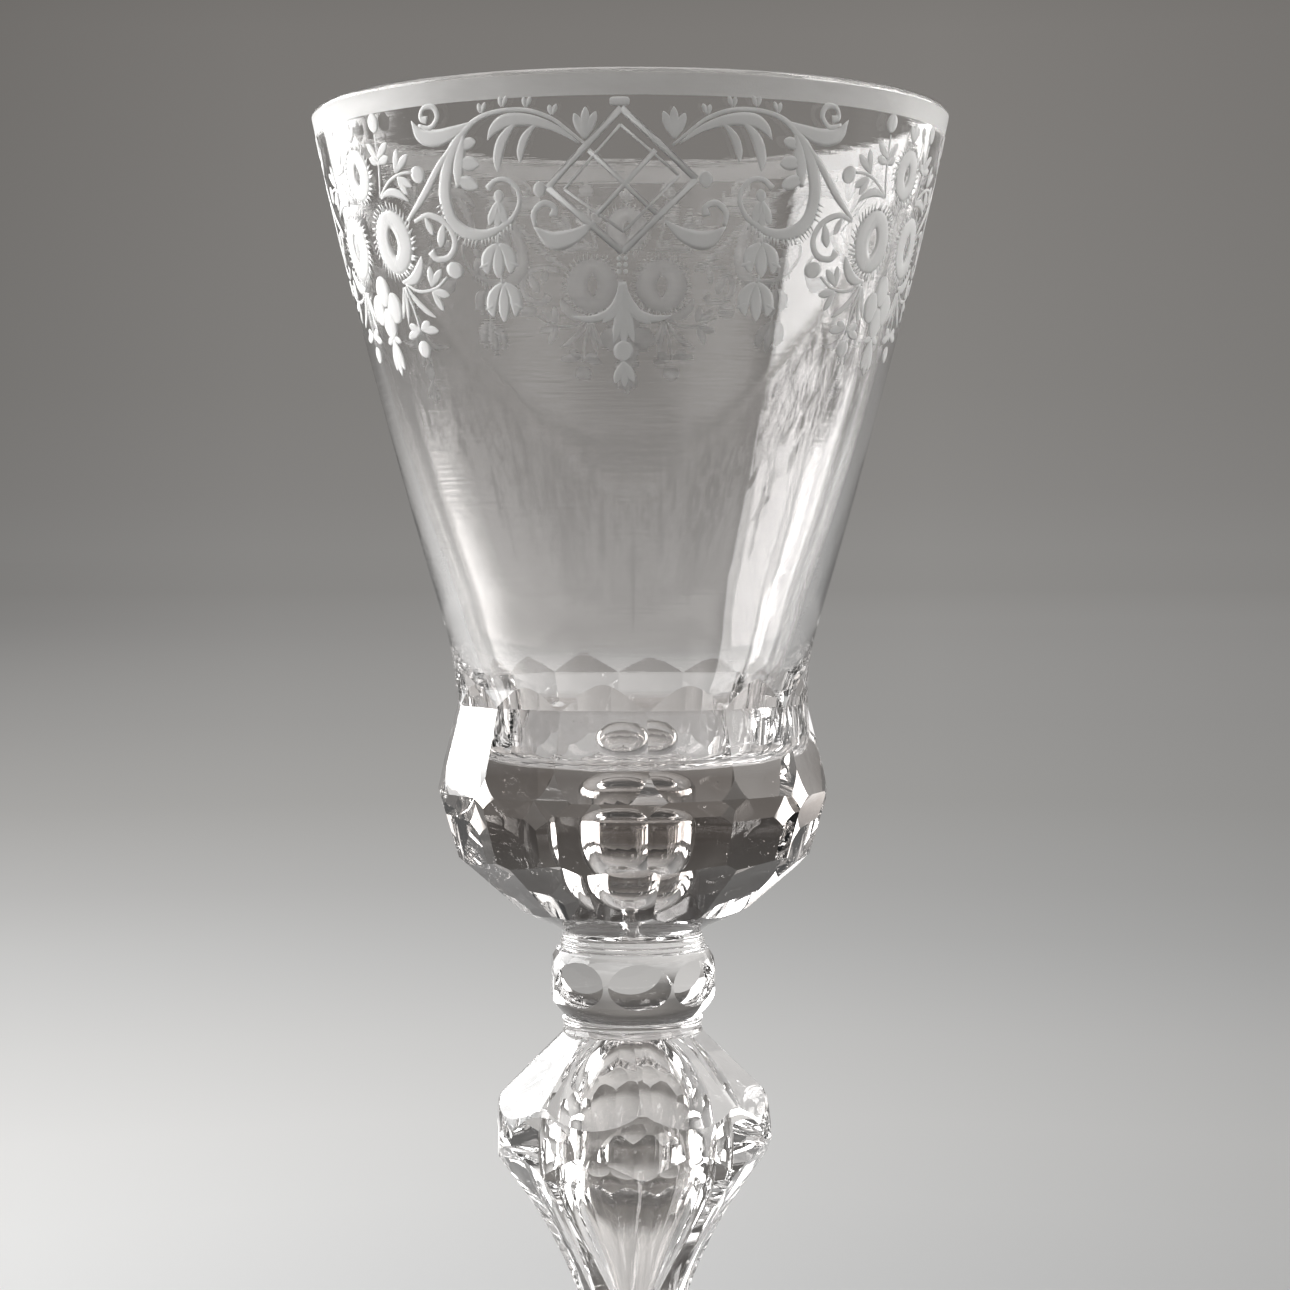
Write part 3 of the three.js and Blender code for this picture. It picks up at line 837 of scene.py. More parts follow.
# %% Flats of the bowl's base
facet_count, facet_turn = 14, 4.7
arch_foot_distance, arch_top_distance, arch_height, arch_clearance = 25.3, 25.78, 3.5, 1.0
upper_top_distance, ridge_flat_distance = 25.15, 28.2
lower_foot_distance, lower_foot_height = 25.42, 12.1
bottom_slope, bottom_turn, below_base = 1.12, 5.5, 3
turn_stray, give_stray, step_stray = 1, 0.08, 0.25
front_turns = {10: 0.4, 11: 0.7, 12: -1.4, 13: -0.8, 0: 0.4, 1: -0.3}
upper, lower, bottom, arches = [], [], [], []
for i in range(facet_count):
    here = facet_turn + 360 / facet_count * (i + 0.5) + front_turns.get(i, stray(turn_stray))
    give, step = stray(give_stray), stray(step_stray)
    on_ridge = (ridge_flat_distance + give, ridge[1] + step)
    upper.append(wheel(on_ridge, (upper_top_distance + give, crease[1]), here))
    lower.append(wheel((lower_foot_distance + give, lower_foot_height), on_ridge, here))
    bottom.append(wheel((lower_foot_distance - bottom_slope * lower_foot_height, 0),
                        (lower_foot_distance + give, lower_foot_height + step),
                        here + bottom_turn))
    arches.append(wheel((arch_foot_distance + give, crease[1]),
                        (arch_top_distance + give, crease[1] + arch_height), here))
grind(bowl, upper + lower + bottom, -below_base, crease[1])
grind(bowl, arches, crease[1], crease[1] + arch_height + arch_clearance)

# %% [markdown]
# Seeds are small bubbles that the furnace left in thick glass. Each is a tiny ball of air, so its
# skin faces inwards, and it belongs to the body that holds it.

# %% Seeds in the thick glass
seed_count, seed_sizes, seed_stretch = 90, (0.05, 0.16), 1.3
seed_radii, seed_heights = (8, 25), (3, 33)
glass_foot_radius, glass_swell, glass_top_radius, glass_narrowing = 11, 0.9, 25.2, 0.3
narrows_above, below_floor, beside_floor = 22, 26.5, 23.2


def in_thick_glass(radius, height):
    within = (radius < glass_foot_radius + height * glass_swell
              and radius < glass_top_radius - max(0, height - narrows_above) * glass_narrowing)
    return within and (height < below_floor or radius > beside_floor)


def add_seeds(work, spots):
    shape = bmesh.new()
    shape.from_mesh(work.data)
    mark = shape.faces.layers.int.get("stroke")
    for spot, size in spots:
        placed = Matrix.Translation(spot) @ Matrix.Diagonal((size, size, size * seed_stretch, 1))
        ball = bmesh.ops.create_icosphere(shape, subdivisions=2, radius=1.0, matrix=placed)
        skin = {face for vertex in ball["verts"] for face in vertex.link_faces}
        bmesh.ops.reverse_faces(shape, faces=list(skin))
        for face in skin:
            face[mark] = CUT + 1
    shape.to_mesh(work.data)
    shape.free()


seeds = []
while len(seeds) < seed_count:
    angle, radius = hand.uniform(0, 360), hand.uniform(*seed_radii)
    height = hand.uniform(*seed_heights)
    if in_thick_glass(radius, height):
        out_x, out_y = heading(angle)
        seeds.append(((radius * out_x, radius * out_y, height), hand.uniform(*seed_sizes)))
add_seeds(bowl, seeds)
place_piece(bowl, "bowl", bowl_strokes,
            [turned_glass, fused_joint, turned_glass, blown_wall, ground_band, turned_glass,
             blown_wall], thick_glass_and_arch_shade)
print(len(seeds), "seeds")

# %% [markdown]
# The engraving runs round the bowl under the rim. The same design comes three times: a lattice
# lozenge between two leafy scrolls, and between each two of them a bunch of daisies, buds and
# berries. On the real glass small copper wheels cut it in a few hundredths of a millimetre deep,
# and every touch of a wheel leaves a blade-shaped, matt, softly rounded mark. So here each mark
# is one blade too: a thin closed cushion of frosted glass that follows the wall. The drawing is in
# millimetres on the wall: across from the middle of the motif, and height above the table.

# %% Places on the wall
bowl_level = piece_level("bowl")
lean_step = 0.5


def wall_radius(height):
    return np.interp(np.asarray(height) - bowl_level, outer_wall[:, 1], outer_wall[:, 0])


def on_wall(across, height, lift, azimuth):
    """Places drawn across and up the wall, lifted square to it."""
    radius = wall_radius(height)
    angle = np.radians(azimuth) + across / radius
    lean = np.arctan(wall_radius(height + lean_step) - wall_radius(height - lean_step))
    out = radius + lift * np.cos(lean)
    return np.stack([out * np.sin(angle), -out * np.cos(angle), height - lift * np.sin(lean)], -1)


print(f"the wall is {wall_radius(195):.1f} mm from the axis in the middle of the ornament")

# %% [markdown]
# A wheel is led in a smooth curve, so a path and its widths are given by a few places, and a curve
# is drawn through them all.

# %% Smooth runs
thinnest = 0.03


def smooth_run(path, halves, steps, closed):
    """A smooth curve through the given places, with its half widths, in finer steps."""
    known = np.concatenate([path, halves[:, None]], 1)
    if closed:
        known = np.concatenate([known[-1:], known, known[:2]])
    else:
        known = np.concatenate([[2 * known[0] - known[1]], known, [2 * known[-1] - known[-2]]])
    runs = []
    for a, b, c, d in zip(known, known[1:], known[2:], known[3:]):
        t = np.linspace(0, 1, steps, endpoint=False)[:, None]
        runs.append(0.5 * (2 * b + (c - a) * t + (2 * a - 5 * b + 4 * c - d) * t * t
                           + (3 * b - a - 3 * c + d) * t ** 3))
    if not closed:
        runs.append(known[-2:-1])
    fine = np.concatenate(runs)
    return fine[:, :2], np.maximum(fine[:, 2], thinnest)


# %% [markdown]
# A blade has seven points round: five over the cushion, whose middle sinks where there is a vein,
# and two just under the wall. Thin blades are lower too.

# %% Blades
mark_lift, mark_root, vein_share = 0.09, 0.03, 0.45
full_half, least_lift = 0.3, 0.35
across_blade = np.array([-1, -0.55, 0, 0.55, 1, 1, -1])
cushion = np.array([0, 0.8, 1, 0.8, 0]) * mark_lift
veined_cushion = cushion * [1, 1, vein_share, 1, 1]


class Engraving:
    """Collects blades drawn on the wall and makes them one closed-skinned mesh."""

    def __init__(self):
        self.points, self.faces, self.blades = [], [], 0

    def blade(self, azimuth, path, halves, closed=False, vein=False, steps=5):
        path, halves = np.array(path, float), np.array(halves, float)
        path, halves = smooth_run(path, halves, steps, closed)
        along = np.roll(path, -1, 0) - np.roll(path, 1, 0) if closed else np.gradient(path, axis=0)
        aside = np.stack([-along[:, 1], along[:, 0]], 1)
        aside /= np.linalg.norm(aside, axis=1)[:, None]
        spots = path[:, None, :] + aside[:, None, :] * (halves[:, None] * across_blade)[..., None]
        thin = np.clip(halves / full_half, least_lift, 1)[:, None]
        over = (veined_cushion if vein else cushion) * thin
        lifts = np.concatenate([over, np.full((len(path), 2), -mark_root)], 1)
        ring = on_wall(spots[..., 0], spots[..., 1], lifts, azimuth)
        first, n, m = len(self.points), len(across_blade), len(path)
        self.points.extend(ring.reshape(-1, 3))
        for i in range(m if closed else m - 1):
            a, b = first + i * n, first + (i + 1) % m * n
            self.faces += [[a + k, a + (k + 1) % n, b + (k + 1) % n, b + k] for k in range(n)]
        if not closed:
            self.faces.append([first + k for k in range(n - 1, -1, -1)])
            self.faces.append([first + (m - 1) * n + k for k in range(n)])
        self.blades += 1


# %% [markdown]
# The cutter's own small vocabulary: a berry is one round touch, a petal one pointed touch with a
# vein, a bar one straight even cut, and a daisy a ring of matt glass round a clear lens, with a
# fringe of short cuts.

# %% Berries, petals, bars and daisies
berry_shares = (-1, -0.92, -0.7, -0.38, 0, 0.38, 0.7, 0.92, 1)
berry_tip = 0.02
petal_shares = (0, 0.18, 0.45, 0.75, 0.93, 1)
petal_widths = (0.25, 0.62, 1, 0.9, 0.45, 0.1)
vein_from = 0.35
daisy_places, daisy_squash = 24, 1.06
tooth_root, tooth_sway, tooth_halves = 0.25, 0.09, (0.24, 0.07)
tooth_stray, tooth_lengths = 0.25, (0.7, 1.1)


class Motif:
    """Draws in its own coordinates, may be mirrored, and stands at one azimuth."""

    def __init__(self, engraving, azimuth, flip, shift):
        self.engraving, self.azimuth, self.flip, self.shift = engraving, azimuth, flip, shift

    def cut(self, path, halves, **how):
        placed = [(self.flip * x + self.shift, z) for x, z in path]
        self.engraving.blade(self.azimuth, placed, halves, **how)

    def berry(self, x, z, size, tall=None):
        tall = tall or size
        self.cut([(x, z + tall * k) for k in berry_shares],
                 [size * math.sqrt(max(berry_tip, 1 - k * k)) for k in berry_shares], steps=2)

    def petal(self, start, end, half, curl=0.0):
        """A pointed touch from start to end. curl bows it to one side."""
        (x0, z0), (x1, z1) = start, end
        dx, dz = x1 - x0, z1 - z0
        bows = [4 * s * (1 - s) * curl for s in petal_shares]
        path = [(x0 + dx * s - dz * b, z0 + dz * s + dx * b) for s, b in zip(petal_shares, bows)]
        self.cut(path, [half * w for w in petal_widths], vein=half > vein_from, steps=3)

    def bar(self, start, end, half):
        self.cut([start, end], [half, half], steps=2)

    def spray(self, base, tips, half):
        for tip in tips:
            self.petal(base, tip, half)

    def daisy(self, x, z, radius, core=(0.85, 1.65), teeth=38, tooth=1.0):
        path, halves = [], []
        for k in range(daisy_places):
            a = 2 * math.pi * k / daisy_places
            dx, dz = math.cos(a), math.sin(a)
            inner = 1 / math.sqrt((dx / core[0]) ** 2 + (dz / core[1]) ** 2)
            middle = (inner + radius) / 2
            path.append((x + dx * middle, z + dz * middle * daisy_squash))
            halves.append((radius - inner) / 2)
        self.cut(path, halves, closed=True, steps=3)
        for k in range(teeth):
            a = 2 * math.pi * (k + stray(tooth_stray)) / teeth
            inside, outside = radius - tooth_root, radius + tooth * hand.uniform(*tooth_lengths)
            self.cut([(x + reach * math.cos(b), z + reach * math.sin(b) * daisy_squash)
                      for reach, b in ((inside, a), (outside, a + tooth_sway))],
                     tooth_halves, steps=2)


# %% [markdown]
# The lattice is a lozenge with bars along its sides, a second line inside them and two crossed
# bands. A berry sits at each side corner, and a tassel of petals hangs from the lowest.

# %% Lattice and tassel
lattice_middle = -1.2
lozenge = [(0.0, 204.7), (9.9, 195.8), (0.1, 186.4), (-9.85, 194.8)]
inner_lozenge = [(-0.1, 202.6), (7.6, 196.2), (0.3, 189.0), (-7.6, 194.5)]
side_bar, inner_line, cross_band = 0.46, 0.2, 0.34
knot_x, knot_top, knot_step = 0.1, 185.6, 0.85
tassel_top = 182.6
tassel = [(-6.6, 178.2, 0.55, 0.32), (-2.6, 177.3, 0.62, 0.16), (6.6, 178.2, 0.6, -0.32),
          (3.9, 177.2, 0.75, -0.16), (-1.1, 174.6, 0.7, 0.04), (0.3, 174.2, 0.75, 0.0),
          (1.6, 174.8, 0.7, -0.04)]


def draw_lattice(engraving, azimuth):
    pen = Motif(engraving, azimuth, 1, lattice_middle)
    for i in range(4):
        pen.bar(lozenge[i], lozenge[(i + 1) % 4], side_bar)
        pen.bar(inner_lozenge[i], inner_lozenge[(i + 1) % 4], inner_line)
    pen.bar((-4.3, 199.4), (5.3, 190.7), cross_band)
    pen.bar((4.5, 199.4), (-3.3, 191.2), cross_band)
    pen.cut([(x, 205.55) for x in (-1.5, -1.1, 0.7, 1.1)], [0.3, 0.55, 0.55, 0.3])
    pen.berry(-10.95, 194.6, 0.9, 1.0)
    pen.berry(11.2, 195.8, 0.95, 1.05)
    for row in range(3):
        for x in (-0.42, 0.42):
            pen.berry(knot_x + x, knot_top - row * knot_step, 0.33)
    for x, z, half, curl in tassel:
        pen.petal((knot_x + x * 0.05, tassel_top), (x, z), half, curl)
    pen.berry(0.2, 173.6, 1.35, 1.3)
    pen.spray((0.2, 172.2), [(-0.9, 169.4), (0.4, 168.9), (1.6, 169.6)], 0.6)


# %% [markdown]
# A scroll grows from each side of the lattice. It is drawn once for the right half and mirrored
# for the left. It swells towards its outer turn, where a row of short hairs stands, and it curls in
# round a bud.

# %% Scroll and its hairs
scroll_path = [(5.6, 200.0), (8.0, 201.9), (10.4, 203.6), (13.7, 204.7), (17.3, 204.8),
               (20.6, 204.1), (23.1, 202.4), (25.0, 200.1), (26.1, 197.2), (26.4, 194.3),
               (25.4, 191.3), (23.4, 189.7), (20.8, 189.1), (18.4, 189.6), (16.0, 191.0),
               (14.9, 193.0), (15.2, 194.8), (16.6, 196.0), (18.3, 196.0), (19.6, 195.0)]
scroll_halves = [0.16, 0.22, 0.26, 0.3, 0.32, 0.38, 0.55, 0.85, 1.0, 1.05,
                 1.0, 0.9, 0.75, 0.55, 0.4, 0.34, 0.33, 0.34, 0.36, 0.5]
hair_count, hair_start, hair_run, hair_root, hair_reach = 22, 9.2, 4.6, 0.8, 0.75


def draw_hairs(pen):
    for k in range(hair_count):
        share = hair_start + hair_run * k / (hair_count - 1)
        i, f = int(share), share - int(share)
        (x0, z0), (x1, z1) = scroll_path[i], scroll_path[i + 1]
        x, z, half = x0 + (x1 - x0) * f, z0 + (z1 - z0) * f, scroll_halves[i]
        length = math.hypot(x1 - x0, z1 - z0)
        out = ((z0 - z1) / length, (x1 - x0) / length)
        root, tip = half * hair_root, half + hair_reach
        pen.cut([(x + out[0] * root, z + out[1] * root),
                 (x + out[0] * tip + 0.15, z + out[1] * tip - 0.1)], [0.2, 0.05], steps=2)


# %% [markdown]
# Leaves, sprouts and spurs grow out of the scroll. Each is a veined blade or a few petals.

# %% Leaves of the scroll
def draw_scroll_leaves(pen):
    # Leaf over the shoulder of the scroll, with its hanging lobes
    pen.cut([(6.6, 200.3), (9.6, 202.2), (13.2, 203.4), (16.6, 203.5), (18.4, 202.6), (19.4, 201.2)],
            [0.12, 0.45, 0.75, 0.95, 0.7, 0.08], vein=True)
    pen.petal((12.4, 202.9), (14.7, 198.1), 0.62, 0.14)
    pen.petal((15.2, 203.2), (17.9, 197.1), 0.8, 0.15)
    # Lobed leaf on the inner side of the scroll
    pen.cut([(23.0, 202.2), (23.6, 200.2), (24.0, 197.8), (24.2, 195.4)], [0.2, 0.8, 0.9, 0.3])
    for base, tip, half in (((23.9, 200.6), (21.2, 201.2), 0.8),
                            ((24.2, 198.6), (20.7, 198.2), 0.95),
                            ((24.4, 196.6), (21.0, 195.3), 0.9)):
        pen.petal(base, tip, half)
    # Sprouts along the top, and the three-petal bud beside the lattice
    for x, z in ((10.2, 204.0), (13.7, 205.1), (17.1, 205.3), (20.2, 204.7)):
        pen.petal((x, z), (x - 0.55, z + 1.35), 0.34)
        pen.petal((x + 0.2, z), (x + 0.45, z + 1.3), 0.34)
    pen.spray((5.9, 200.9), [(4.4, 204.3), (5.8, 204.9), (7.3, 204.1)], 0.62)


def draw_spurs(pen):
    # Outer spur and its spiral, and the stem to the next bunch
    pen.cut([(21.4, 203.6), (24.5, 202.6), (27.4, 202.0), (30.3, 202.6), (31.9, 204.6)],
            [0.2, 0.8, 1.15, 0.9, 0.06], vein=True)
    pen.cut([(30.6, 203.9), (28.6, 203.4), (27.3, 204.6), (27.9, 206.0), (29.6, 206.0),
             (30.1, 204.8), (29.0, 204.4)], [0.2, 0.36, 0.4, 0.4, 0.36, 0.4, 0.55])
    pen.cut([(24.6, 201.3), (27.4, 198.2), (30.3, 194.7), (33.6, 191.8)], [0.2, 0.55, 0.62, 0.3])
    # Crescent leaf and spiral under the lattice
    pen.cut([(4.6, 190.4), (7.2, 188.6), (10.2, 188.0), (12.9, 189.8)], [0.12, 0.95, 1.2, 0.1],
            vein=True)
    pen.cut([(12.7, 189.9), (12.9, 191.6), (11.6, 192.8), (10.1, 192.3), (10.2, 191.1)],
            [0.3, 0.42, 0.45, 0.4, 0.6])


# %% [markdown]
# In the curl of the scroll sits a bud of three petals, and two bells hang below it, one under the
# other.

# %% Bud and bells
scroll_middle = -0.1


def draw_bell(pen, x, top, half, drop):
    for side in (-1, 1):
        pen.petal((x + side * 0.1, top + 0.1), (x + side * half * 0.72, top - drop * 0.86),
                  half * 0.42, side * 0.2)
    pen.petal((x, top + 0.1), (x, top - drop), half * 0.4)
    for side in (-1, 1):
        pen.petal((x + side * half * 0.5, top - drop * 0.5),
                  (x + side * (half + 0.7), top - drop * 0.66), 0.3)


def draw_bells(pen):
    pen.berry(17.9, 194.0, 0.75, 0.8)
    pen.spray((18.0, 193.4), [(16.8, 190.2), (18.1, 189.9), (19.4, 190.3)], 0.7)
    draw_bell(pen, 18.1, 187.7, 2.3, 4.3)
    draw_bell(pen, 17.4, 182.6, 2.2, 4.9)
    pen.bar((18.1, 189.2), (18.1, 187.4), 0.17)
    pen.bar((17.9, 184.0), (17.5, 182.4), 0.17)


def draw_scrolls(engraving, azimuth):
    for flip in (-1, 1):
        pen = Motif(engraving, azimuth, flip, scroll_middle)
        pen.cut(scroll_path, scroll_halves)
        draw_hairs(pen)
        draw_scroll_leaves(pen)
        draw_spurs(pen)
        draw_bells(pen)


# %% [markdown]
# The bunch. Two big daisies side by side, a third above them, branches with berries and paired
# petals to either side, long leaves and a quatrefoil with a drop below.

# %% Flower bunch
bunch_middle = 0.6


def draw_bunch(engraving, azimuth):
    pen = Motif(engraving, azimuth, 1, bunch_middle)
    pen.daisy(0, 198.8, 3.5, core=(0.6, 1.1), teeth=30, tooth=0.8)
    pen.spray((0, 203.2), [(-1.3, 205.4), (0, 206.0), (1.3, 205.4)], 0.6)
    for x, z in ((0, 183.0), (-2.3, 180.6), (2.3, 180.6), (0, 178.6)):
        pen.berry(x, z, 2.0, 2.1)
    pen.spray((0, 176.4), [(-1.2, 172.2), (0, 171.4), (1.2, 172.2)], 0.85)
    pen.spray((0, 176.6), [(-2.0, 176.0), (2.0, 176.0)], 0.5)
    for flip in (-1, 1):
        draw_branches(Motif(engraving, azimuth, flip, bunch_middle))


def draw_branches(pen):
    pen.daisy(5.7, 189.3, 4.25)
    # Upper branch
    pen.cut([(4.8, 195.3), (6.0, 199.0), (6.6, 203.6)], [0.2, 0.24, 0.16])
    pen.berry(6.8, 205.1, 1.25)
    pen.spray((6.1, 200.4), [(4.3, 202.6), (8.9, 202.3)], 0.62)
    pen.spray((6.2, 199.8), [(4.2, 200.6), (8.6, 200.4)], 0.62)
    pen.cut([(4.9, 195.4), (7.7, 197.2), (10.4, 198.0), (12.6, 198.0)], [0.2, 0.26, 0.22, 0.2])
    pen.berry(13.8, 197.6, 1.35, 1.15)
    pen.spray((9.4, 198.2), [(10.7, 201.3), (12.6, 200.4)], 0.62)
    pen.spray((9.6, 197.6), [(11.0, 195.2), (12.2, 196.2)], 0.62)
    pen.petal((5.0, 195.2), (10.9, 194.3), 0.6, 0.17)
    # Scroll with lobes and a curled end
    pen.cut([(11.2, 191.6), (14.2, 192.2), (17.0, 190.8), (17.7, 188.4), (16.2, 186.6),
             (13.9, 186.4), (13.1, 187.5)], [0.25, 0.42, 0.5, 0.5, 0.45, 0.45, 0.75])
    pen.petal((13.4, 191.9), (14.2, 189.6), 0.6)
    pen.petal((16.4, 190.8), (14.9, 187.9), 0.75)
    # Lower branch
    pen.petal((5.8, 183.9), (11.0, 187.0), 0.85, -0.2)
    pen.cut([(6.4, 183.6), (9.0, 182.4), (12.4, 182.6), (15.0, 184.0)], [0.2, 0.24, 0.22, 0.2])
    pen.berry(16.6, 184.8, 1.5, 1.1)
    pen.spray((11.6, 182.9), [(12.2, 185.6), (14.2, 185.0)], 0.6)
    pen.spray((11.6, 182.2), [(12.9, 179.6), (14.6, 181.6)], 0.62)
    # Long leaves, and the lowest berry between paired petals
    pen.petal((6.4, 183.4), (11.1, 178.8), 0.48, -0.08)
    pen.petal((5.9, 183.2), (4.9, 178.2), 0.42, 0.05)
    pen.petal((5.6, 183.2), (3.9, 179.0), 0.42, 0.05)
    pen.cut([(6.0, 183.2), (6.9, 180.2), (7.3, 176.6)], [0.28, 0.24, 0.18])
    pen.spray((7.2, 177.2), [(4.2, 176.4), (4.9, 178.0)], 0.62)
    pen.spray((7.5, 177.4), [(9.6, 178.2), (11.0, 177.0)], 0.62)
    pen.berry(7.2, 174.7, 1.3, 1.15)


# %% [markdown]
# The matt finish. A wheel's touch is left unpolished, so it is whitish and lets little light
# through. A fine grain roughens it and a slower cloud makes some touches a little darker.

# %% Matt finish of the engraving
grain_scale, grain_depth, touch_scale = 2600.0, 0.02, 240.0
dark_matt, pale_matt = (0.82, 0.815, 0.805, 1), (0.95, 0.945, 0.935, 1)
frost_ior, frost_cover, frost_let_through = 1.2, 0.93, 0.25
frost_rough, grain_rough = 0.5, 0.2

finish = Finish(bpy.data.materials.new("engraved"))
place = finish.node("TexCoord", out="Object")
grain = finish.noise(place, grain_scale, 3.0)
touch = finish.noise(place, touch_scale, 2.0)
bump = finish.node("Bump", {}, {"Strength": 0.5, "Distance": grain_depth * MM, "Height": grain})
engraved = finish.surface(finish.node("BsdfPrincipled", {}, {
    "Base Color": finish.blended(touch, dark_matt, pale_matt),
    "Roughness": frost_rough + grain * grain_rough, "IOR": frost_ior,
    "Transmission Weight": frost_let_through, "Alpha": frost_cover, "Normal": bump}))
print("matt finish:", engraved.name)

# %% [markdown]
# All the blades are one mesh, as they are one job of the cutter. No node of the imported model
# stands for it, so it only rides on the body.

# %% The engraved band
band = Engraving()
for third in (0, 120, 240):
    draw_lattice(band, third)
    draw_scrolls(band, third)
    draw_bunch(band, third + 60)
engraving = object_from("engraved_band", [tuple(p * MM) for p in band.points], band.faces,
                        [0] * len(band.faces))
engraving.data.attributes.remove(engraving.data.attributes["stroke"])
engraving.data.materials.append(engraved)
engraving.data.polygons.foreach_set("use_smooth", [True] * len(engraving.data.polygons))
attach(engraving, "root")
print(f"engraving: {band.blades} blades, {len(band.faces)} faces")

# %% [markdown]
# The stage. The glass stands on a wide pale floor that runs back into a grey dusk, as on a long
# sweep of paper: near the glass it is almost white, and a painted falloff of light darkens it
# evenly with distance and a little to the right.

# %% Rings of the floor
ring_count, ring_columns, first_ring, ring_growth = 26, 64, 0.02, 1.35
floor_rings = [first_ring * ring_growth ** i for i in range(ring_count)]
columns = [2 * math.pi * j / ring_columns for j in range(ring_columns)]
floor_points = [(0, 0, 0)] + [(r * math.cos(a), r * math.sin(a), 0)
                              for r in floor_rings for a in columns]
floor_faces = [[0, 1 + j, 1 + (j + 1) % ring_columns] for j in range(ring_columns)]
for k in range(ring_count - 1):
    inner, outer = 1 + k * ring_columns, 1 + (k + 1) * ring_columns
    floor_faces += [[inner + j, outer + j, outer + (j + 1) % ring_columns,
                     inner + (j + 1) % ring_columns] for j in range(ring_columns)]
floor = object_from("floor", floor_points, floor_faces, [0] * len(floor_faces))
print(f"floor: {floor_rings[-1]:.0f} m wide each way")

# %% [markdown]
# The tone of the paper is a ramp over the distance from the glass: a painted falloff of light,
# which darkens it away from the glass. The key light comes from the left, so a painted shade
# darkens the near paper to the right, and the far paper joins the tones of the wall behind.

# %% Tone of the paper
back_grey = (0.264, 0.257, 0.248)
wall_tones = [(0.0, (0.74,) * 3), (0.25, (0.93,) * 3), (0.7, (1.03,) * 3), (1.0, (0.86,) * 3)]
# The ramp runs over the logarithm of the distance, from 0.1 m at 0 to 10 m at 1
ramp_start, ramp_span = 0.1, 100.0
paper_falloff_tones = [
    (0.0, (0.735, 0.735, 0.735)), (0.10, (0.745, 0.745, 0.743)), (0.19, (0.755, 0.752, 0.745)),
    (0.26, (0.735, 0.73, 0.72)), (0.33, (0.665, 0.66, 0.65)), (0.40, (0.57, 0.567, 0.56)),
    (0.47, (0.475, 0.47, 0.462)), (0.557, (0.395, 0.388, 0.377)), (0.66, (0.35, 0.343, 0.334)),
    (0.84, (0.293, 0.286, 0.278)), (1.0, back_grey)]
light_stands_off, least_reach = 0.43, 0.2
lean_limits, key_falloff_tones, far_limits = (-0.21, 0.22), (1.05, 0.65), (0.42, 0.88)

finish = Finish(bpy.data.materials.new("pale_paper"))
place = finish.node("TexCoord", out="Object")
apart = finish.node("VectorMath", {"operation": "LENGTH"}, [place], out="Value")
side, back = (finish.node("SeparateXYZ", {}, [place], out=axis) for axis in ("X", "Y"))
far = finish.maths("LOGARITHM", apart * (1 / ramp_start), ramp_span)
# Painted falloff of light: the paper darkens with distance from the glass
tone = finish.node("ValToRGB", {"stops": paper_falloff_tones}, [far])
lean = side / finish.maths("MAXIMUM", back + light_stands_off, least_reach)
# Painted shade: the near paper darkens to the right, away from the key light
painted_key_falloff = finish.drawn_out(lean, *lean_limits, *key_falloff_tones)
painted_far_tones = finish.node("ValToRGB", {"stops": wall_tones}, [lean * 2 + 0.5])
painted_shade = finish.blended(finish.drawn_out(far, *far_limits), painted_key_falloff, painted_far_tones)
print("paper tones:", len(paper_falloff_tones))

# %% [markdown]
# The colour, with its painted falloff, belongs to the floor. Rays that the camera, a reflection or
# the glass itself sends see most of it as plain paper, so that it stays even. Near the glass a part
# of it is lit by the lamps, so that it keeps the shadow. Every ray but the camera's finds a painted
# shade on the paper in front of the glass, but not on what lies under its foot.

# %% Paper in light and shade
front_shade_limits, front_shade_share = (-0.12, 0.14), 0.25
foot_limits = (0.055, 0.11)
lit_limits, lit_most = (0.06, 0.5), 0.5
SOFT = "SMOOTHSTEP"

# Painted shade on the paper in front of the glass, for every ray but the camera's
front = finish.drawn_out(back, *front_shade_limits, front_shade_share, 1.0, SOFT)
under_foot = finish.drawn_out(apart, *foot_limits, 1.0, 0.0, SOFT)
camera_ray, glossy_ray, transmission_ray = (
    finish.node("LightPath", out=f"Is {ray} Ray") for ray in ("Camera", "Glossy", "Transmission"))
plain = finish.maths("MAXIMUM", camera_ray, under_foot)
painted_shade = finish.node("VectorMath", {"operation": "SCALE"},
                   {0: painted_shade, "Scale": front + plain - front * plain})
paper = finish.node("VectorMath", {"operation": "MULTIPLY"}, [tone, painted_shade])
lit_share = finish.drawn_out(apart, *lit_limits, lit_most, 0.0, SOFT)
matte = finish.node("BsdfDiffuse", {}, {"Color": paper})
glow = finish.node("Emission", {}, {"Color": paper, "Strength": 1.0})
seen = finish.maths("ADD", camera_ray + glossy_ray, transmission_ray, use_clamp=True)
floor.data.materials.append(finish.surface(
    finish.node("MixShader", {}, [seen * (1 - lit_share), matte, glow])))
print("floor covered with", floor.data.materials[0].name)

# %% [markdown]
# The room. Behind the glass the paper fades into a mid grey. Overhead the room is dark, which
# gives the thick facets their smoky depth. In front there is a pale wall, which grows brighter
# round the right side like a window. Its upper edge is straight in front and comes down to both
# sides. The far wall of the bowl is a hollow mirror, and it draws this edge as the soft curve
# across the middle of the glass. A faint pale column stands on the right part of the wall, and the
# same mirror shows it on the left of the glass. Looked at straight, the wall is plain pale paper.

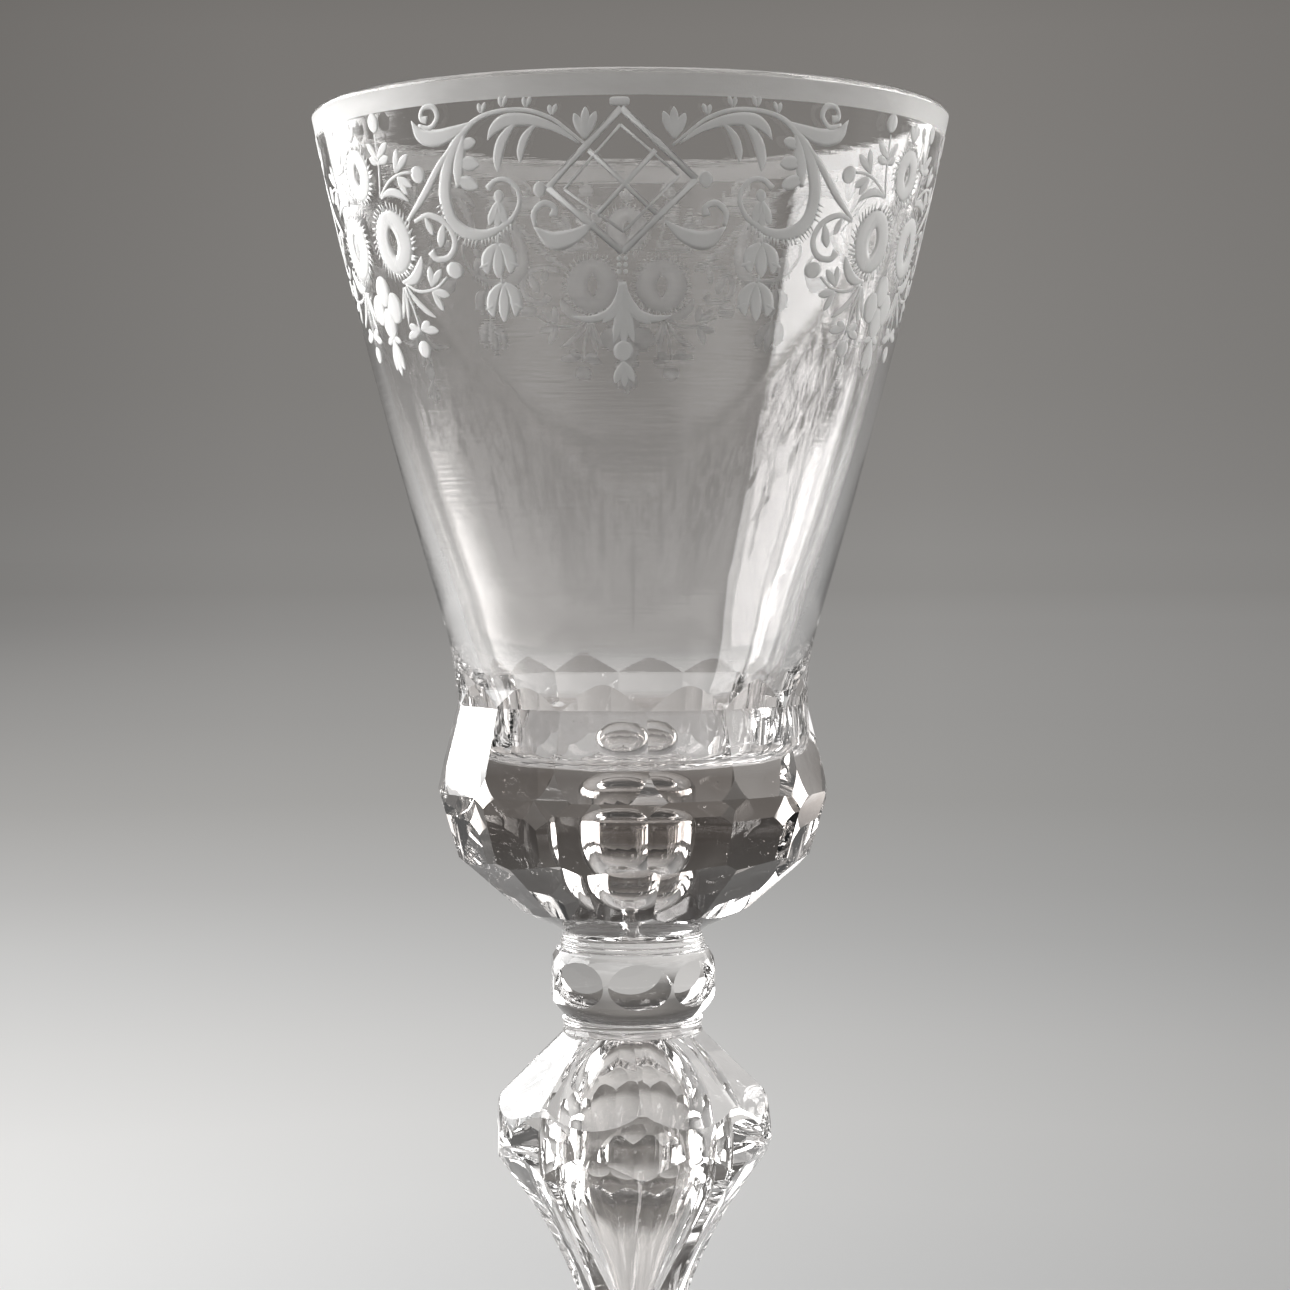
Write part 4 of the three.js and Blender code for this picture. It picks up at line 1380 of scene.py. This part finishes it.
# %% Directions in the room
finish = Finish(bpy.data.worlds.new("room"), "OutputWorld")
look = finish.node("TexCoord", out="Generated")
look_x, look_y, look_z = (finish.node("SeparateXYZ", {}, [look], out=axis) for axis in "XYZ")
to_degrees = 180 / math.pi
azimuth = finish.maths("ARCTAN2", look_x, look_y * -1) * to_degrees
elevation = finish.maths("ARCSINE", look_z) * to_degrees
facing = finish.maths("ABSOLUTE", azimuth)


def rising(value, start, end):
    """0 before start, 1 after end, with a soft step between."""
    return finish.drawn_out(value, start, end, step=SOFT)


print("room:", finish.owner.name)

# %% [markdown]
# Behind the glass the tones run with the height over the floor, and the wall tones that the far
# paper has run across them.

# %% Grey behind the glass
dusk = [(0.0, back_grey), (0.012, (0.246, 0.238, 0.229)), (0.035, (0.229, 0.221, 0.211)),
        (0.11, (0.206, 0.196, 0.185)), (0.16, (0.13, 0.124, 0.118)), (0.3, (0.10, 0.096, 0.093)),
        (1.0, (0.07, 0.07, 0.07))]
behind = finish.node("ValToRGB", {"stops": dusk}, [finish.drawn_out(elevation, 0.0, 90.0)])
across = finish.node("ValToRGB", {"stops": wall_tones}, [look_x * 2 + 0.5])
behind = finish.blended(1.0, behind, across, "MULTIPLY")
print("dusk:", len(dusk), "tones from the floor to overhead")

# %% [markdown]
# The wall in front is a mask, made of soft steps over the angles: its upper edge, its foot, its
# two ends and the column. Near its foot it keeps only a part of its light.

# %% Edges of the wall in front
wall_top, wall_drop, drop_from, drop_to, side_drop = 31.5, 10.0, 40, 106, 0.27
wall_foot, foot_drop, foot_drop_to, low_wall_share = 24, 30, 90, 0.25
wall_sides, foot_edge, top_softness = ((-75, -60), (144, 136)), (-4, 4), (1.5, -1.5)
column_sides, column_ends, column_share = ((46, 58), (112, 98)), ((37, 33.5), (12, 20)), 0.5

top_edge = (wall_top - rising(facing, drop_from, drop_to) * wall_drop
            - finish.maths("MAXIMUM", facing - drop_to, 0.0) * side_drop)
lower_edge = wall_foot - rising(facing, drop_from, foot_drop_to) * foot_drop
full_wall = rising(elevation - lower_edge, *foot_edge) * (1 - low_wall_share) + low_wall_share
in_wall = rising(elevation - top_edge, *top_softness) * full_wall
column = (rising(azimuth, *column_sides[0]) * rising(azimuth, *column_sides[1])
          * rising(elevation, *column_ends[0]) * rising(elevation, *column_ends[1])
          * column_share)
in_wall = finish.maths("MAXIMUM", in_wall, column)
sides = rising(azimuth, *wall_sides[0]) * rising(azimuth, *wall_sides[1])
print(f"wall in front: up to {wall_top} degrees")

# %% [markdown]
# The mask mixes the light of the wall over the grey. The window is only a brighter part of the
# wall.

# %% Light of the wall and of the window on the right
wall_level, plain_level = 1.78, 0.75
side_rise, side_gain, window_rise, window_gain = (40, 100), 0.3, (95, 130), 4.0
behind_starts = (140, 120)
dark_room, wall_shade = (0.10, 0.097, 0.094, 1), (1.0, 0.99, 0.975)

level = (wall_level + rising(azimuth, *side_rise) * side_gain
         + rising(azimuth, *window_rise) * window_gain)
level = level + (plain_level - level) * finish.node("LightPath", out="Is Camera Ray")
wall_light = finish.node("VectorMath", {"operation": "SCALE"}, {0: wall_shade, "Scale": level})
room_grey = finish.blended(rising(facing, *behind_starts), behind, dark_room)
room_grey = finish.blended(in_wall * sides, room_grey, wall_light)
scene.world = finish.surface(finish.node("Background", {}, {"Color": room_grey, "Strength": 1.0}))
print("world:", scene.world.name)

# %% [markdown]
# Lamps. Glass shows its shape by the bright shapes that it mirrors. The main lamp is a tall soft
# box on the left, with a strip and a small card further back, and a weak box hangs high in front.
# Their edges are soft, as cloth in front of a lamp makes them.

# %% Soft boxes
lamp_distance = 1.6
lamp_target = Vector((0, 0, 0.15))


def soft_box(name, azimuths, elevations, radiance, soft):
    """A cloth box between these angles from the glass. soft is the share its edge takes."""
    wide, tall = (2 * lamp_distance * math.tan(math.radians((high - low) / 2))
                  for low, high in (azimuths, elevations))
    lamp = bpy.data.lights.new(name, "AREA")
    lamp.shape, lamp.size, lamp.size_y = "RECTANGLE", wide, tall
    lamp.energy = radiance * math.pi * wide * tall
    cloth = Finish(lamp, "OutputLight")
    spot = cloth.node("NewGeometry", out="Parametric")
    from_sides, from_ends = (
        cloth.maths("PINGPONG", cloth.node("SeparateXYZ", {}, [spot], out=axis), 0.5)
        for axis in ("X", "Y"))
    share = (cloth.drawn_out(from_sides, 0.0, soft, step=SOFT)
             * cloth.drawn_out(from_ends, 0.0, soft, step=SOFT))
    cloth.surface(cloth.node("Emission", {}, {"Strength": share}))
    out_x, out_y = heading(sum(azimuths) / 2)
    up = math.radians(sum(elevations) / 2)
    way = Vector((out_x * math.cos(up), out_y * math.cos(up), math.sin(up)))
    made = bpy.data.objects.new(name, lamp)
    made.location = lamp_target + way * lamp_distance
    made.rotation_euler = (-way).to_track_quat("-Z", "Y").to_euler()
    made.visible_camera = False
    scene.collection.objects.link(made)
    print(f"{name}: {wide:.2f} by {tall:.2f} m")


soft_box("left_tall_box", (-110, -77.5), (-4, 42), 7.2, 0.05)
soft_box("left_back_strip", (-147, -110), (-4, 34), 5.4, 0.12)
soft_box("high_front_box", (-30, 55), (40, 64), 1.3, 0.2)
soft_box("left_back_card", (-126, -113), (7, 17), 8.0, 0.1)

# %% [markdown]
# The camera looks from just below the rim, on a long lens, as a photographer stands well back
# from a small glass. It looks down by less than two degrees.

# %% Camera
frame_pixels, view_distance_pixels = 1290, 2950
eye_height, camera_distance = 147.2, 431.6
pitch_degrees, yaw_degrees, roll_degrees = 1.86, -0.26, -0.13
sensor_width = 36
nearest, farthest = 0.01, 100
camera_data = bpy.data.cameras.new("camera")
camera_data.sensor_width = sensor_width
camera_data.lens = sensor_width * view_distance_pixels / frame_pixels
camera_data.clip_start, camera_data.clip_end = nearest, farthest
camera = bpy.data.objects.new("camera", camera_data)
camera.location = (0, -camera_distance * MM, eye_height * MM)
turn_down = Matrix.Rotation(math.radians(90 - pitch_degrees), 4, "X")
turn_side = Matrix.Rotation(math.radians(yaw_degrees), 4, "Z")
turn_roll = Matrix.Rotation(math.radians(roll_degrees), 4, "Z")
camera.rotation_euler = (turn_side @ turn_down @ turn_roll).to_euler()
scene.collection.objects.link(camera)
scene.camera = camera
print(f"lens {camera_data.lens:.1f} mm")

# %% [markdown]
# Light passes many walls in a glass before it comes out, so it may bounce often.

# %% Close the scene
bounces, glossy_bounces = 32, 12
scene.view_settings.view_transform = "Standard"
scene.cycles.max_bounces = bounces
scene.cycles.transmission_bounces = bounces
scene.cycles.transparent_max_bounces = bounces
scene.cycles.glossy_bounces = glossy_bounces
